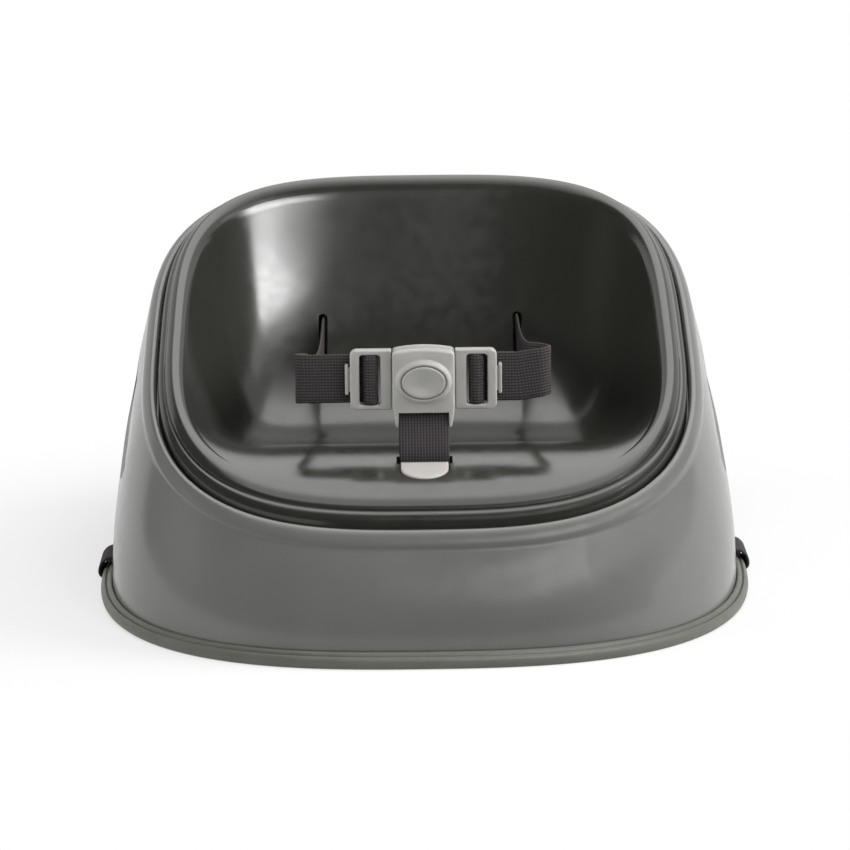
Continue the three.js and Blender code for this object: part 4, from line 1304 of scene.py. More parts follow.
    def slot_tool(self, side: Side) -> Obj:
        """Makes the stadium-shaped tool of one waist slot.

        Args:
            side: The slot's side.

        Returns:
            The tool.
        """
        half = self.slot_wide / 2 + self.slot_room
        tall = self.slot_tall / 2 + self.slot_room - half
        t = np.linspace(-QUARTER_TURN, QUARTER_TURN, 13)
        right = np.column_stack([half * np.cos(t), half * np.sin(t)])
        upper = right[6:] + [0, tall]
        lower = right[:7] - [0, tall]
        loop = np.vstack([lower, upper, upper[::-1] * [-1, 1], lower[::-1] * [-1, 1]])
        keep = np.append(np.linalg.norm(np.diff(loop, axis=0), axis=1) > 1e-6, True)
        loop = loop[keep]
        x, z = loop[:, 0] + side * self.slot_x, loop[:, 1] + self.slot_z
        loops = [np.column_stack([x, np.full(len(x), y), z]) for y in (20.0, 160.0)]
        return loft("tool", loops, LINER_FINISH, Ends.FLAT)


def crotch_outline(grow: float, back: float) -> Array:
    """Gives the D of the crotch plate in x and y, straight at the back.

    Args:
        grow: Distance outside the plate's edge.
        back: Depth of the straight side.

    Returns:
        The outline's points.
    """
    half, straight = 11.5 + grow, CROTCH_Y - 9
    t = np.linspace(0, -math.pi, 49)
    front = np.column_stack([half * np.cos(t), straight + (8.5 + grow) * np.sin(t)])
    return np.vstack([[half, back], front, [-half, back]])


def crotch_tools(grow: float) -> list[Obj]:
    """Makes the tools of the crotch opening: a D in front and a slot behind it.

    Args:
        grow: Room round the plate and the strap.

    Returns:
        The two tools.
    """
    outline = crotch_outline(grow, CROTCH_Y - 3)
    loops = [np.column_stack([outline, np.full(len(outline), z)]) for z in (40.0, 100.0)]
    wide = WEB_WIDTH / 2 + 0.8 + grow
    return [
        loft("tool", loops, LINER_FINISH, Ends.FLAT),
        block((-wide, CROTCH_Y - 4.4, 40), (wide, CROTCH_Y + 3.2 + grow, 100), LINER_FINISH),
    ]


def upright_tool(
    place: Sequence[float], radius: float, low: float, high: float, form: SeatForm,
) -> Obj:
    """Makes a round tool square to the tilted rim plane.

    Args:
        place: x and y on the rim plane.
        radius: Its radius.
        low: Its lower end above the rim plane.
        high: Its upper end above the rim plane.
        form: The seat's outlines.

    Returns:
        The tool.
    """
    t = np.linspace(0, FULL_TURN, 24, endpoint=False)
    lean = math.atan(form.tilt)
    loops = []
    for w in (low * math.cos(lean), high * math.cos(lean)):
        u, v = radius * np.cos(t), radius * np.sin(t)
        y = v * math.cos(lean) - w * math.sin(lean) + place[1]
        z = v * math.sin(lean) + w * math.cos(lean) + float(form.plane_z(place[1]))
        loops.append(np.column_stack([u + place[0], y, z]))
    return loft("tool", loops, LINER_FINISH, Ends.FLAT)


# Straps


@dataclass
class Strap:
    """A woven strap of even thickness along a line.

    Attributes:
        name: The piece's name.
        line: Centre line, one row for each point.
        width_way: Direction across the strap, one for all points or one for each.
    """

    name: str
    line: Array
    width_way: Array

    def build(self) -> Obj:
        """Builds the strap with soft edges and a map of its length and width.

        Returns:
            The strap.
        """
        line = self.line
        run = np.gradient(line, axis=0)
        run /= np.linalg.norm(run, axis=1)[:, None]
        across = np.broadcast_to(self.width_way, line.shape).astype(float).copy()
        across -= run * np.einsum("ij,ij->i", across, run)[:, None]
        across /= np.linalg.norm(across, axis=1)[:, None]
        face = np.cross(run, across)
        half, thin = WEB_WIDTH / 2, WEB_THICK / 2
        # Across the webbing: a thin edge, the full thickness, and the same again
        upper = [(-half + 0.25, 0.6 * thin), (-half + 1.1, thin)]
        upper += [(x, thin) for x in np.linspace(-half + 3.2, half - 3.2, 5)]
        upper += [(half - 1.1, thin), (half - 0.25, 0.6 * thin), (half, 0)]
        lower = [(x, -z) for x, z in reversed(upper[:-1])] + [(-half, 0)]
        section = np.array(upper + lower)
        loops = line[:, None] + across[:, None] * section[:, :1] + face[:, None] * section[:, 1:]
        strap = loft(self.name, loops, WEBBING_FINISH, Ends.FLAT, sharp=60)
        lengths = np.concatenate([[0], np.cumsum(np.linalg.norm(np.diff(line, axis=0), axis=1))])
        place = np.column_stack([np.repeat(lengths, len(section)), np.tile(section[:, 0], len(line))])
        layer = strap.data.uv_layers.new(name="strap")
        corners = np.zeros(len(strap.data.loops), dtype=int)
        strap.data.loops.foreach_get("vertex_index", corners)
        layer.data.foreach_set("uv", (place[corners] * MM).ravel())
        return strap


@dataclass
class Harness:
    """Waist and crotch straps with the push-button buckle.

    The buckle's parts are drawn for wider webbing and then fitted to the webbing's width.

    Attributes:
        form: The seat's outlines.
        liner_y: Depth of the bowl's surface beside a waist slot.
        keeper_y: Depth of the back face of the keeper plates.
        slot_x: Distance of a waist slot from the middle.
        slot_z: Height of the waist slots.
        buckle_z: Height of the button's middle.
        back_y: Depth of the buckle's back face.
        fold_x: Where the waist straps turn towards the buckle.
        sag: How far the left and the right waist strap hang down.
        lift: How far the left and the right one stand up at their folds.
        pan_under: Depth of the pan's underside below the seat.
        drawn_width: Width of the webbing that the buckle is drawn for.
        slide_bar: The tongues' bars: distance from the middle and in front of the back face.
        strap_bar: The crotch strap's bar: distance in front of the back face and above the middle.
        cover_thick: Thickness of the back shell.
        tongue_back: Distance of the tongues' backs in front of the back face.
        face: Distance of the front shell's face in front of the back face.
        button_back: Distance of the button's back in front of the back face.
        flange_thick: Thickness of the crotch anchor's flange.
        corner: Radius of the rounded edges.
    """

    form: SeatForm
    liner_y: float
    keeper_y: float
    slot_x: float = 52.0
    slot_z: float = 101.0
    buckle_z: float = 120.0
    back_y: float = -73.0
    fold_x: float = 61.5
    sag: Span = (9.0, 4.5)
    lift: Span = (0.0, 4.5)
    pan_under: float = 7.8
    drawn_width: float = 25.4
    slide_bar: Span = (26.9, 5.4)
    strap_bar: Span = (6.6, -13.5)
    cover_thick: float = 3.0
    tongue_back: float = 2.6
    face: float = 13.0
    button_back: float = 9.4
    flange_thick: float = 3.2
    corner: float = 0.9

    @property
    def scale(self) -> float:
        """Size of the buckle's parts against their drawing."""
        return WEB_WIDTH / self.drawn_width

    def fitted(self, piece: Obj) -> Obj:
        """Fits a part of the buckle to the webbing's width.

        Args:
            piece: The part as drawn.

        Returns:
            The same part.
        """
        centre = Vector((0, self.back_y, self.buckle_z)) * MM
        for vertex in piece.data.vertices:
            vertex.co = centre + (vertex.co - centre) * self.scale
        return piece

    def depth(self, forward: float) -> float:
        """Turns a distance in front of the buckle's back face into a depth."""
        return self.back_y - forward

    @property
    def first_y(self) -> float:
        """Depth of the waist straps' front run, behind the tongues."""
        return self.depth(self.tongue_back * self.scale - FIT - WEB_THICK / 2)

    def height_at(self, y: Array) -> Array:
        """Gives the height of a waist strap's middle at depths y between slot and buckle."""
        share = np.clip((self.liner_y - 8 - y) / (self.liner_y - 8 - self.first_y), 0, 1)
        return self.slot_z + eased(self.buckle_z - self.slot_z, share)

    def waist_strap(self, side: Side) -> Obj:
        """Builds one waist strap, from its keeper plate to the tongue and back.

        Args:
            side: The strap's side.

        Returns:
            The strap.
        """
        first = self.first_y
        second = first + WEB_THICK + FIT
        slide = self.slide_bar[0] * self.scale
        slide_y = self.depth(self.slide_bar[1] * self.scale)
        turn = BAR_RADIUS + 2 * FIT + WEB_THICK / 2
        x, fold = self.slot_x, self.fold_x
        tail = self.keeper_y + FIT + WEB_THICK / 2
        route = [
            [x + 7.4, tail], [x + 1, tail], [x, self.keeper_y + 0.2], [x, self.liner_y + 2],
            [x, self.liner_y - 4], [x + 0.6, 50], [x + 2.6, 0], [fold - 3, first + 22],
            [fold - 0.6, first + 10], [fold, first + 4], [fold - 3, first + 0.6], [50, first],
            [slide + 7, first], [slide + 5.3, first], [slide + 4, first - 0.7], [slide + 3.4, first - 2],
            *arc(slide, slide_y, turn, 0, -math.pi)[1:-1],
            [slide - 3, slide_y + 1.5], [slide - 2.5, second - 1], [slide - 1, second],
            [slide + 9, second], [slide + 19, second],
        ]
        flat = spline(route, 360)
        # The strap sags between its fold and its slot, and the right one is lifted at its fold
        hand = int(side is Side.RIGHT)
        sag = self.sag[hand] * np.sin(math.pi * np.clip((flat[:, 1] + 77) / 160, 0, 1))
        lift = self.lift[hand] * np.clip((flat[:, 0] - 46) / 30, 0, 1)
        line = np.column_stack([flat[:, 0] * side, flat[:, 1], self.height_at(flat[:, 1]) - sag + lift])
        return Strap(f"waist_strap_web_{side.word}", line, np.array([[0, 0, 1.0]])).build()

    @property
    def anchor_slope(self) -> float:
        """Slope of the crotch plate, which lies like the seat at its middle."""
        return float(self.form.seat_slope(self.anchor_y))

    @property
    def anchor_y(self) -> float:
        """Depth of the middle of the crotch plate."""
        return CROTCH_Y - 10.75

    def slanted(self, y: float, z: float) -> float:
        """Gives the height of a place of the anchor that is drawn level at height z."""
        return z + self.anchor_slope * (y - self.anchor_y)

    @property
    def flange_low(self) -> float:
        """Height of the underside of the anchor's flange, drawn level."""
        return float(self.form.seat_z(self.anchor_y)) - self.pan_under - FIT - self.flange_thick

    @property
    def anchor_bar(self) -> Span:
        """Depth and height of the anchor's bar, on which the crotch strap hangs."""
        y = CROTCH_Y - 0.4
        return (y, self.slanted(y, self.flange_low - 5))

    def crotch_strap(self) -> Obj:
        """Builds the crotch strap, looped round the anchor's bar and the buckle's bar.

        Returns:
            The strap.
        """
        turn = BAR_RADIUS + FIT + WEB_THICK / 2
        bar_y, bar_z = self.anchor_bar
        top_y = self.depth(self.strap_bar[0] * self.scale)
        top_z = self.buckle_z + self.strap_bar[1] * self.scale
        y, opening = CROTCH_Y, float(self.form.seat_z(CROTCH_Y))
        route = [
            [bar_y - turn, bar_z + 8],
            *arc(bar_y, bar_z, turn, -math.pi, 0),
            [y + 2.1, bar_z + 8], [y + 1.4, opening - 2], [y + 2.2, opening + 3],
            [top_y - turn, top_z - 4],
            *arc(top_y, top_z, turn, math.pi, -0.2),
            [top_y + 1, top_z - 4.6], [y + 5.6, opening + 5.4], [y + 4.6, opening + 2.6],
        ]
        flat = spline(route, 190)
        line = np.column_stack([np.zeros(len(flat)), flat[:, 0], flat[:, 1]])
        return Strap("crotch_strap_web", line, np.array([[1.0, 0, 0]])).build()

    def buckle_outline(self, bottom: float) -> Array:
        """Gives the buckle's outline, with a crowned top and narrowing legs.

        Args:
            bottom: Height of its lower edge above the button's middle.

        Returns:
            Points in x and z.
        """
        z = self.buckle_z
        wide, crown, foot = 15.8, 13.8, 14.2
        waist, brow, knee = z - 11, z + 15.55, z + 0.6 * bottom - 3
        points = [[wide, waist]]
        points += bow([wide, z + 13.4], [wide, z + 15.2], [crown, brow], 7)
        points += bow([crown, brow], [0, z + 18], [-crown, brow], 24)
        points += bow([-crown, brow], [-wide, z + 15.2], [-wide, z + 13.4], 7)
        points += bow([-wide, waist], [-15.6, knee], [-foot, z + bottom], 12)
        points += [[-foot, z + bottom]]
        points += bow([foot, z + bottom], [15.6, knee], [wide, waist], 12)
        return np.array(points)

    def around(self, outline: Array, count: int) -> Array:
        """Spaces an outline by its angle round the button's middle.

        Args:
            outline: Points in x and z.
            count: How many points the result has.

        Returns:
            Points in x and z, from the right side and anticlockwise.
        """
        centre = np.array([0, self.buckle_z])
        closed = np.vstack([outline, outline[:1]])
        line = evenly(closed, 1600) - centre
        angle = np.unwrap(np.arctan2(line[:, 1], line[:, 0]))
        if angle[-1] < angle[0]:
            line, angle = line[::-1], angle[::-1]
        want = np.linspace(0, FULL_TURN, count, endpoint=False)
        want = want + FULL_TURN * np.ceil((angle[0] - want) / FULL_TURN)
        radius = np.interp(want, angle, np.linalg.norm(line, axis=1))
        return np.column_stack([radius * np.cos(want), radius * np.sin(want)]) + centre

    def oval(self, half_width: float, half_height: float, count: int) -> Array:
        """Gives an oval round the button's middle, spaced by angle.

        Args:
            half_width: Half its width.
            half_height: Half its height.
            count: How many points it has.

        Returns:
            Points in x and z.
        """
        t = np.linspace(0, FULL_TURN, count, endpoint=False)
        radius = 1 / np.hypot(np.cos(t) / half_width, np.sin(t) / half_height)
        return np.column_stack([radius * np.cos(t), radius * np.sin(t) + self.buckle_z])

    def spokes(self, outline: Array) -> Array:
        """Gives the directions from the button's middle to the points of an outline."""
        away = outline - np.array([0, self.buckle_z])
        return away / np.linalg.norm(away, axis=1)[:, None]

    def at(self, outline: Array, forward: Union[float, Array]) -> Array:
        """Places points of x and z at a distance in front of the buckle's back face."""
        depth = self.back_y - np.broadcast_to(forward, (len(outline),))
        return np.column_stack([outline[:, 0], depth, outline[:, 1]])

    def hollow(self, shell: Obj, half: float, front: float, low: float, high: float) -> None:
        """Cuts a room out of a shell of the buckle, open at the back.

        Args:
            shell: The shell.
            half: Half the room's width.
            front: Distance of its front from the buckle's back face.
            low: Its lowest height above the button's middle.
            high: Its highest.
        """
        y, z = self.depth(front), self.buckle_z
        room = block((-half, y, z + low), (half, self.depth(-9), z + high), FITTING_FINISH)
        carve(shell, room, sharp=SMALL_CREASE)

    def front_shell(self) -> Obj:
        """Builds the buckle's front shell with its collar round the button.

        Returns:
            The shell with the bar that carries the crotch strap.
        """
        count = 192
        outline = self.around(self.buckle_outline(-24), count)
        away = self.spokes(outline)
        face, low = self.face, self.cover_thick + FIT
        edge, edge_drop = 1.5, 0.15
        back = ((11, low + 5), (2.0, low), (0.4, low), (0, low + 0.5))
        loops = [self.at(outline - away * inset, forward) for inset, forward in back]
        for k in np.linspace(0, QUARTER_TURN, 7):
            forward = face - edge + edge * math.sin(k) - edge_drop
            loops.append(self.at(outline - away * edge * (1 - math.cos(k)), forward))
        inner, foot = outline - away * edge, self.oval(15.2, 12.1, count)
        for share in (0.2, 0.4, 0.6, 0.8, 0.92):
            mixed = inner * (1 - share) + foot * share
            loops.append(self.at(mixed, face - edge_drop + 0.35 * math.sin(share * QUARTER_TURN)))
        for share in np.linspace(0, 1, 9):
            rise = 0.5 - 0.5 * math.cos(math.pi * share)
            collar = self.oval(15.0 - 2.6 * share, 11.9 - 2.5 * share, count)
            loops.append(self.at(collar, face + 0.2 + 1.7 * rise))
        # Half width, half height and rise of the collar's inner side
        for wide, tall, rise in (
            (11.9, 8.95, 1.85), (11.55, 8.6, 1.55), (11.4, 8.5, 1.1), (11.4, 8.5, -2.6),
            (12.2, 9.3, -2.7),
        ):
            loops.append(self.at(self.oval(wide, tall, count), face + rise))
        shell = loft("buckle_front_cover", loops, FITTING_FINISH, sharp=SMALL_CREASE)
        # Room for the latch, for the crotch strap and for the tongues
        self.hollow(shell, 13.3, 10.9, -17, 13)
        self.hollow(shell, 12.95, 60, -34, -16)
        self.hollow(shell, 20, 6.6, -5, 12)
        bar_y, bar_z = self.depth(self.strap_bar[0]), self.buckle_z + self.strap_bar[1]
        bar = self.rod((-14.3, bar_y, bar_z), (14.3, bar_y, bar_z), BAR_RADIUS)
        return self.fitted(join([shell, bar], "buckle_front_cover"))

    def back_shell(self) -> Obj:
        """Builds the buckle's back shell with the notch for the crotch strap.

        Returns:
            The shell.
        """
        outline = self.around(self.buckle_outline(-20), 160)
        away = self.spokes(outline)
        turn = np.linspace(0, QUARTER_TURN, 6)
        steps = [(self.corner * (1 - math.sin(a)), self.corner * (1 - math.cos(a))) for a in turn]
        steps += [(0, 2.5), (0.15, 2.85), (0.5, self.cover_thick)]
        loops = [self.at(outline - away * inset, forward) for inset, forward in steps]
        shell = loft("buckle_back_cover", loops, FITTING_FINISH, Ends.FLAT, sharp=SMALL_CREASE)
        self.hollow(shell, 13, 60, -34, -10)
        return self.fitted(shell)

    def spring(self) -> Obj:
        """Builds the coil of round wire behind the button.

        Returns:
            The coil.
        """
        wire, radius, turns, count = 0.35, 3.0, 4, 200
        low = self.depth(self.button_back - FIT - wire)
        high = self.depth(self.cover_thick + FIT + wire)
        share = np.linspace(0, 1, count)
        angle = share * turns * FULL_TURN
        out = np.column_stack([np.cos(angle), np.zeros(count), np.sin(angle)])
        line = out * radius + np.column_stack([
            np.zeros(count), low + (high - low) * share, np.full(count, self.buckle_z),
        ])
        t = np.linspace(0, FULL_TURN, 10, endpoint=False)[:, None]
        way = np.array([0, 1.0, 0])
        loops = [line[k] + wire * (np.cos(t) * out[k] + np.sin(t) * way) for k in range(count)]
        return self.fitted(loft("button_spring_coil", loops, STEEL_FINISH, Ends.FLAT, sharp=60))

    @staticmethod
    def rod(start: Sequence[float], end: Sequence[float], radius: float) -> Obj:
        """Makes a round rod between two points.

        Args:
            start: Middle of one end.
            end: Middle of the other end.
            radius: The rod's radius.

        Returns:
            The rod.
        """
        a, b = np.array(start, float), np.array(end, float)
        way = (b - a) / np.linalg.norm(b - a)
        side = np.cross(way, [0, 0, 1.0] if abs(way[2]) < 0.9 else [1.0, 0, 0])
        side /= np.linalg.norm(side)
        up = np.cross(way, side)
        t = np.linspace(0, FULL_TURN, 28, endpoint=False)[:, None]
        ring = radius * (np.cos(t) * side + np.sin(t) * up)
        return loft("rod", [a + ring, b + ring], FITTING_FINISH, Ends.FLAT)

    def button(self) -> Obj:
        """Builds the release button with its dished face and hidden lugs.

        Returns:
            The button.
        """
        count = 144
        wide, tall, edge, dish = 11.1, 8.2, 0.6, 1.25
        loops = [self.at(self.oval(wide, tall, count), self.button_back)]
        for turn in np.linspace(0, QUARTER_TURN, 6):
            shrink = edge * (1 - math.cos(turn))
            outline = self.oval(wide - shrink, tall - shrink, count)
            loops.append(self.at(outline, 15.0 + edge * math.sin(turn)))
        loops.append(self.at(self.oval(10.0, 7.1, count), 15.62))
        for share in np.linspace(0, 1, 10):
            size = 9.6 * (1 - share) + 0.4 * share
            sink = dish * math.sin(share * QUARTER_TURN)
            loops.append(self.at(self.oval(size, size * 0.7, count), 15.55 - sink))
        parts = [loft("release_button_cap", loops, BUTTON_FINISH, Ends.FLAT, sharp=50)]
        front, back, z = self.depth(10.6), self.depth(self.button_back), self.buckle_z
        for low, high in ((6.0, 9.6), (-9.6, -6.0)):
            parts.append(block((-4, front, z + low), (4, back, z + high), BUTTON_FINISH, "lug"))
        return self.fitted(join(parts, "release_button_cap"))

    def tongue(self, side: Side) -> Obj:
        """Builds a tongue: framed window, slide bar, thumb tab and latch plate.

        Args:
            side: The tongue's side.

        Returns:
            The tongue.
        """
        z, tall = self.buckle_z, 15.6
        count = 160
        outer = rounded_loop(16.1, 37.2, z - tall, z + tall, (0.7, 3.4), count)
        window = rounded_loop(21.8, 32.5, z - 13, z + 13, (1.6, 1.6), count)
        low = self.tongue_back
        profile = [(0, low + self.corner), *soft_edge(self.corner, 8.4, 6)]
        loops = [self.at(shrink_loop(outer, inset), forward) for inset, forward in profile]
        loops += [self.at(shrink_loop(window, -inset), forward) for inset, forward in reversed(profile)]
        loops += [self.at(shrink_loop(window, -0.4), low), self.at(shrink_loop(outer, 0.4), low)]
        frame_part = loft("tongue", loops, FITTING_FINISH, sharp=SMALL_CREASE)
        bar_x, bar_y = self.slide_bar[0], self.depth(self.slide_bar[1])
        bar = self.rod((bar_x, bar_y, z - 14), (bar_x, bar_y, z + 14), 1.4)
        neck = self.plate(36.2, 38.4, z - 6.2, z + 6.2, 4.2, 6.6, 0.3)
        tab = self.plate(38.1, 39.8, z - 7.7, z + 7.7, 3.6, 7.4, 0.6)
        latch = self.plate(5.6, 17.1, z - 4.5, z + 11.5, 3.6, 6.2, 0.3)
        carve(latch, block((8.6, self.depth(8), z - 1), (11.6, self.depth(2), z + 8), FITTING_FINISH))
        whole = self.fitted(join([frame_part, bar, neck, tab, latch], f"tongue_frame_{side.word}"))
        if side is Side.LEFT:
            for vertex in whole.data.vertices:
                vertex.co.x = -vertex.co.x
            whole.data.flip_normals()
        smooth(whole.data, SMALL_CREASE)
        return whole

    def plate(
        self, x0: float, x1: float, z0: float, z1: float, low: float, high: float, round_by: float,
    ) -> Obj:
        """Makes a small plate with softened front edges.

        Args:
            x0: Lowest x.
            x1: Highest x.
            z0: Lowest z.
            z1: Highest z.
            low: Distance of its back in front of the buckle's back face.
            high: Distance of its front.
            round_by: Radius of its corners and front edges.

        Returns:
            The plate.
        """
        loop = rounded_loop(x0, x1, z0, z1, (round_by, round_by), 64)
        steps = [(0, low), *soft_edge(round_by, high, 5)]
        loops = [self.at(shrink_loop(loop, inset), forward) for inset, forward in steps]
        return loft("plate", loops, FITTING_FINISH, Ends.FLAT)

    def crotch_anchor(self) -> Obj:
        """Builds the anchor: D-shaped plate, flange under the pan, cheeks and bar.

        Returns:
            The anchor.
        """
        top = float(self.form.seat_z(self.anchor_y)) + 0.5
        low = self.flange_low
        outline = crotch_outline(0.0, CROTCH_Y - 4)
        outline = evenly(np.vstack([outline, outline[:1]]), 161)[:-1]
        steps = [(0, low + 1), *soft_edge(self.corner, top, 6)]
        loops = [np.column_stack([shrink_loop(outline, inset), np.full(160, z)]) for inset, z in steps]
        plate = loft("crotch_anchor_plate", loops, PLATE_FINISH, Ends.FLAT)
        half = WEB_WIDTH / 2
        cheek = half + 0.6
        base = rounded_loop(-half - 4.8, half + 4.8, self.anchor_y - 4, CROTCH_Y + 8.2, (6.0, 6.0), 96)
        flange = loft("flange", [
            np.column_stack([base, np.full(96, z)]) for z in (low, low + self.flange_thick)
        ], PLATE_FINISH, Ends.FLAT)
        room = block((-cheek, CROTCH_Y - 4, low - 1), (cheek, CROTCH_Y + 3.6, low + 12), PLATE_FINISH)
        carve(flange, room)
        parts = [plate, flange]
        for x0, x1 in ((cheek, cheek + 3), (-cheek - 3, -cheek)):
            parts.append(block(
                (x0, CROTCH_Y - 3.2, low - 7.2), (x1, CROTCH_Y + 2.4, low + 1), PLATE_FINISH, "cheek",
            ))
        whole = join(parts, "crotch_anchor_plate")
        for vertex in whole.data.vertices:
            vertex.co.z = self.slanted(vertex.co.y / MM, vertex.co.z / MM) * MM
        carve(whole, sunk_copy("seat_pan", FIT))
        bar_y, bar_z = self.anchor_bar
        bar = self.rod((-cheek - 0.7, bar_y, bar_z), (cheek + 0.7, bar_y, bar_z), BAR_RADIUS)
        bar.data.materials.clear()
        whole = join([whole, bar], "crotch_anchor_plate")
        smooth(whole.data, SMALL_CREASE)
        return whole


def sunk_copy(node: str, drop: float) -> Obj:
    """Copies a CAD node as a tool.

    Args:
        node: The node's name.
        drop: How far below the node the tool lies.

    Returns:
        The tool.
    """
    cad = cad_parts[node]
    mesh = cad.data.copy()
    mesh.transform(cad.matrix_world)
    mesh.materials.clear()
    tool = new_object("tool", mesh)
    tool.location.z = -drop * MM
    return tool


def rounded_loop(
    x0: float, x1: float, z0: float, z1: float, radii: tuple[float, float], count: int,
) -> Array:
    """Gives a rounded rectangle, evenly spaced round its middle.

    Args:
        x0: Lowest x.
        x1: Highest x.
        z0: Lowest z.
        z1: Highest z.
        radii: Corner radius at x0 and at x1.
        count: How many points the result has, a multiple of 4.

    Returns:
        Points, anticlockwise from the middle of the right side.
    """
    corners = [
        (x1 - radii[1], z1 - radii[1], radii[1], 0.0),
        (x0 + radii[0], z1 - radii[0], radii[0], QUARTER_TURN),
        (x0 + radii[0], z0 + radii[0], radii[0], math.pi),
        (x1 - radii[1], z0 + radii[1], radii[1], 3 * QUARTER_TURN),
    ]
    middles = [(x1, (z0 + z1) / 2), ((x0 + x1) / 2, z1), (x0, (z0 + z1) / 2), ((x0 + x1) / 2, z0)]
    share = count // 4
    turn = share // 2
    straight = share - turn
    lead = straight // 2 + straight % 2
    tail = straight - lead
    points: list[list[float]] = []
    for k, (cx, cz, radius, start) in enumerate(corners):
        corner = [
            [cx + radius * math.cos(start + a), cz + radius * math.sin(start + a)]
            for a in np.linspace(0, QUARTER_TURN, turn)
        ]
        a, b = np.array(middles[k]), np.array(corner[0])
        points += (a + (b - a) * np.arange(lead)[:, None] / lead).tolist()
        points += corner
        a, b = np.array(corner[-1]), np.array(middles[(k + 1) % 4])
        points += (a + (b - a) * np.arange(1, tail + 1)[:, None] / (tail + 1)).tolist()
    return np.array(points)


def shrink_loop(loop: Array, inset: float) -> Array:
    """Moves a flat closed loop inwards.

    Args:
        loop: The loop's points.
        inset: A small distance, below 0 to move it outwards.

    Returns:
        The moved loop.
    """
    if abs(inset) < 1e-9:
        return loop
    run = np.roll(loop, -1, axis=0) - np.roll(loop, 1, axis=0)
    run /= np.maximum(np.linalg.norm(run, axis=1), 1e-9)[:, None]
    side = np.column_stack([-run[:, 1], run[:, 0]])
    area = np.sum(loop[:, 0] * np.roll(loop[:, 1], -1) - np.roll(loop[:, 0], -1) * loop[:, 1])
    return loop + side * inset * (1 if area > 0 else -1)


@dataclass
class ChairStraps:
    """The two straps that tie the seat to a chair, with their side-release buckle."""

    form: SeatForm
    ring_out: float = 6.0
    slot_z: float = 10.9
    buckle_z: float = 9.4
    bar_x: float = 31.5

    def strap(self, side: Side) -> Obj:
        """Builds one chair strap, over the ring and under the seat.

        Args:
            side: The strap's side.

        Returns:
            The strap.
        """
        wall = self.form.wall_half_width
        tail = wall - self.form.wall_thickness - 1.2 - WEB_THICK
        ring = wall + self.ring_out
        turn = BAR_RADIUS + FIT + WEB_THICK / 2
        z = self.buckle_z
        route = [
            [tail, self.slot_z + 13], [tail, self.slot_z + 3.2], [tail + 0.8, self.slot_z + 0.7],
            [tail + 2.5, self.slot_z], [wall + 2.3, self.slot_z], [ring - 1.6, self.slot_z - 0.7],
            [ring + 0.7, self.slot_z - 3.1], [ring + 1.7, 4.6], [ring + 1.6, 2.7], [ring + 0.6, 1.3],
            [ring - 1.2, 1], [wall - 3.3, 1], [wall - 11, 1], [wall - 19, 1.3], [110, 4], [80, 6.8],
            [58, 8.2], [46, 8.5], [38, z - 2.4],
            *arc(self.bar_x, z, turn, -QUARTER_TURN, -3 * QUARTER_TURN),
            [38, z + 2.2], [46, z + 0.9], [58, z + 0.6],
        ]
        flat = spline(route, 240)
        line = np.column_stack([flat[:, 0] * side, np.zeros(len(flat)), flat[:, 1]])
        return Strap(f"chair_strap_web_{side.word}", line, np.array([[0, 1.0, 0]])).build()


# Studio


class CardKind(Enum):
    """What a card of the studio is, as the sRGB hex of its light and its strength."""

    DARK = ("0A0A0A", 1.0)
    SOFT = ("FFFFFF", 2.2)
    BRIGHT = ("FFFFFF", 26.0)
    SILK = ("FFFFFF", 4.0)


def wall(start: Sequence[float], end: Sequence[float], low: float, high: float) -> Corners:
    """Gives the corners of an upright card between two places on the floor, in metres."""
    return [(*start, low), (*end, low), (*end, high), (*start, high)]


def level(left: float, front: float, right: float, back: float, height: float) -> Corners:
    """Gives the corners of a level card, in metres."""
    return [(left, front, height), (left, back, height), (right, back, height), (right, front, height)]


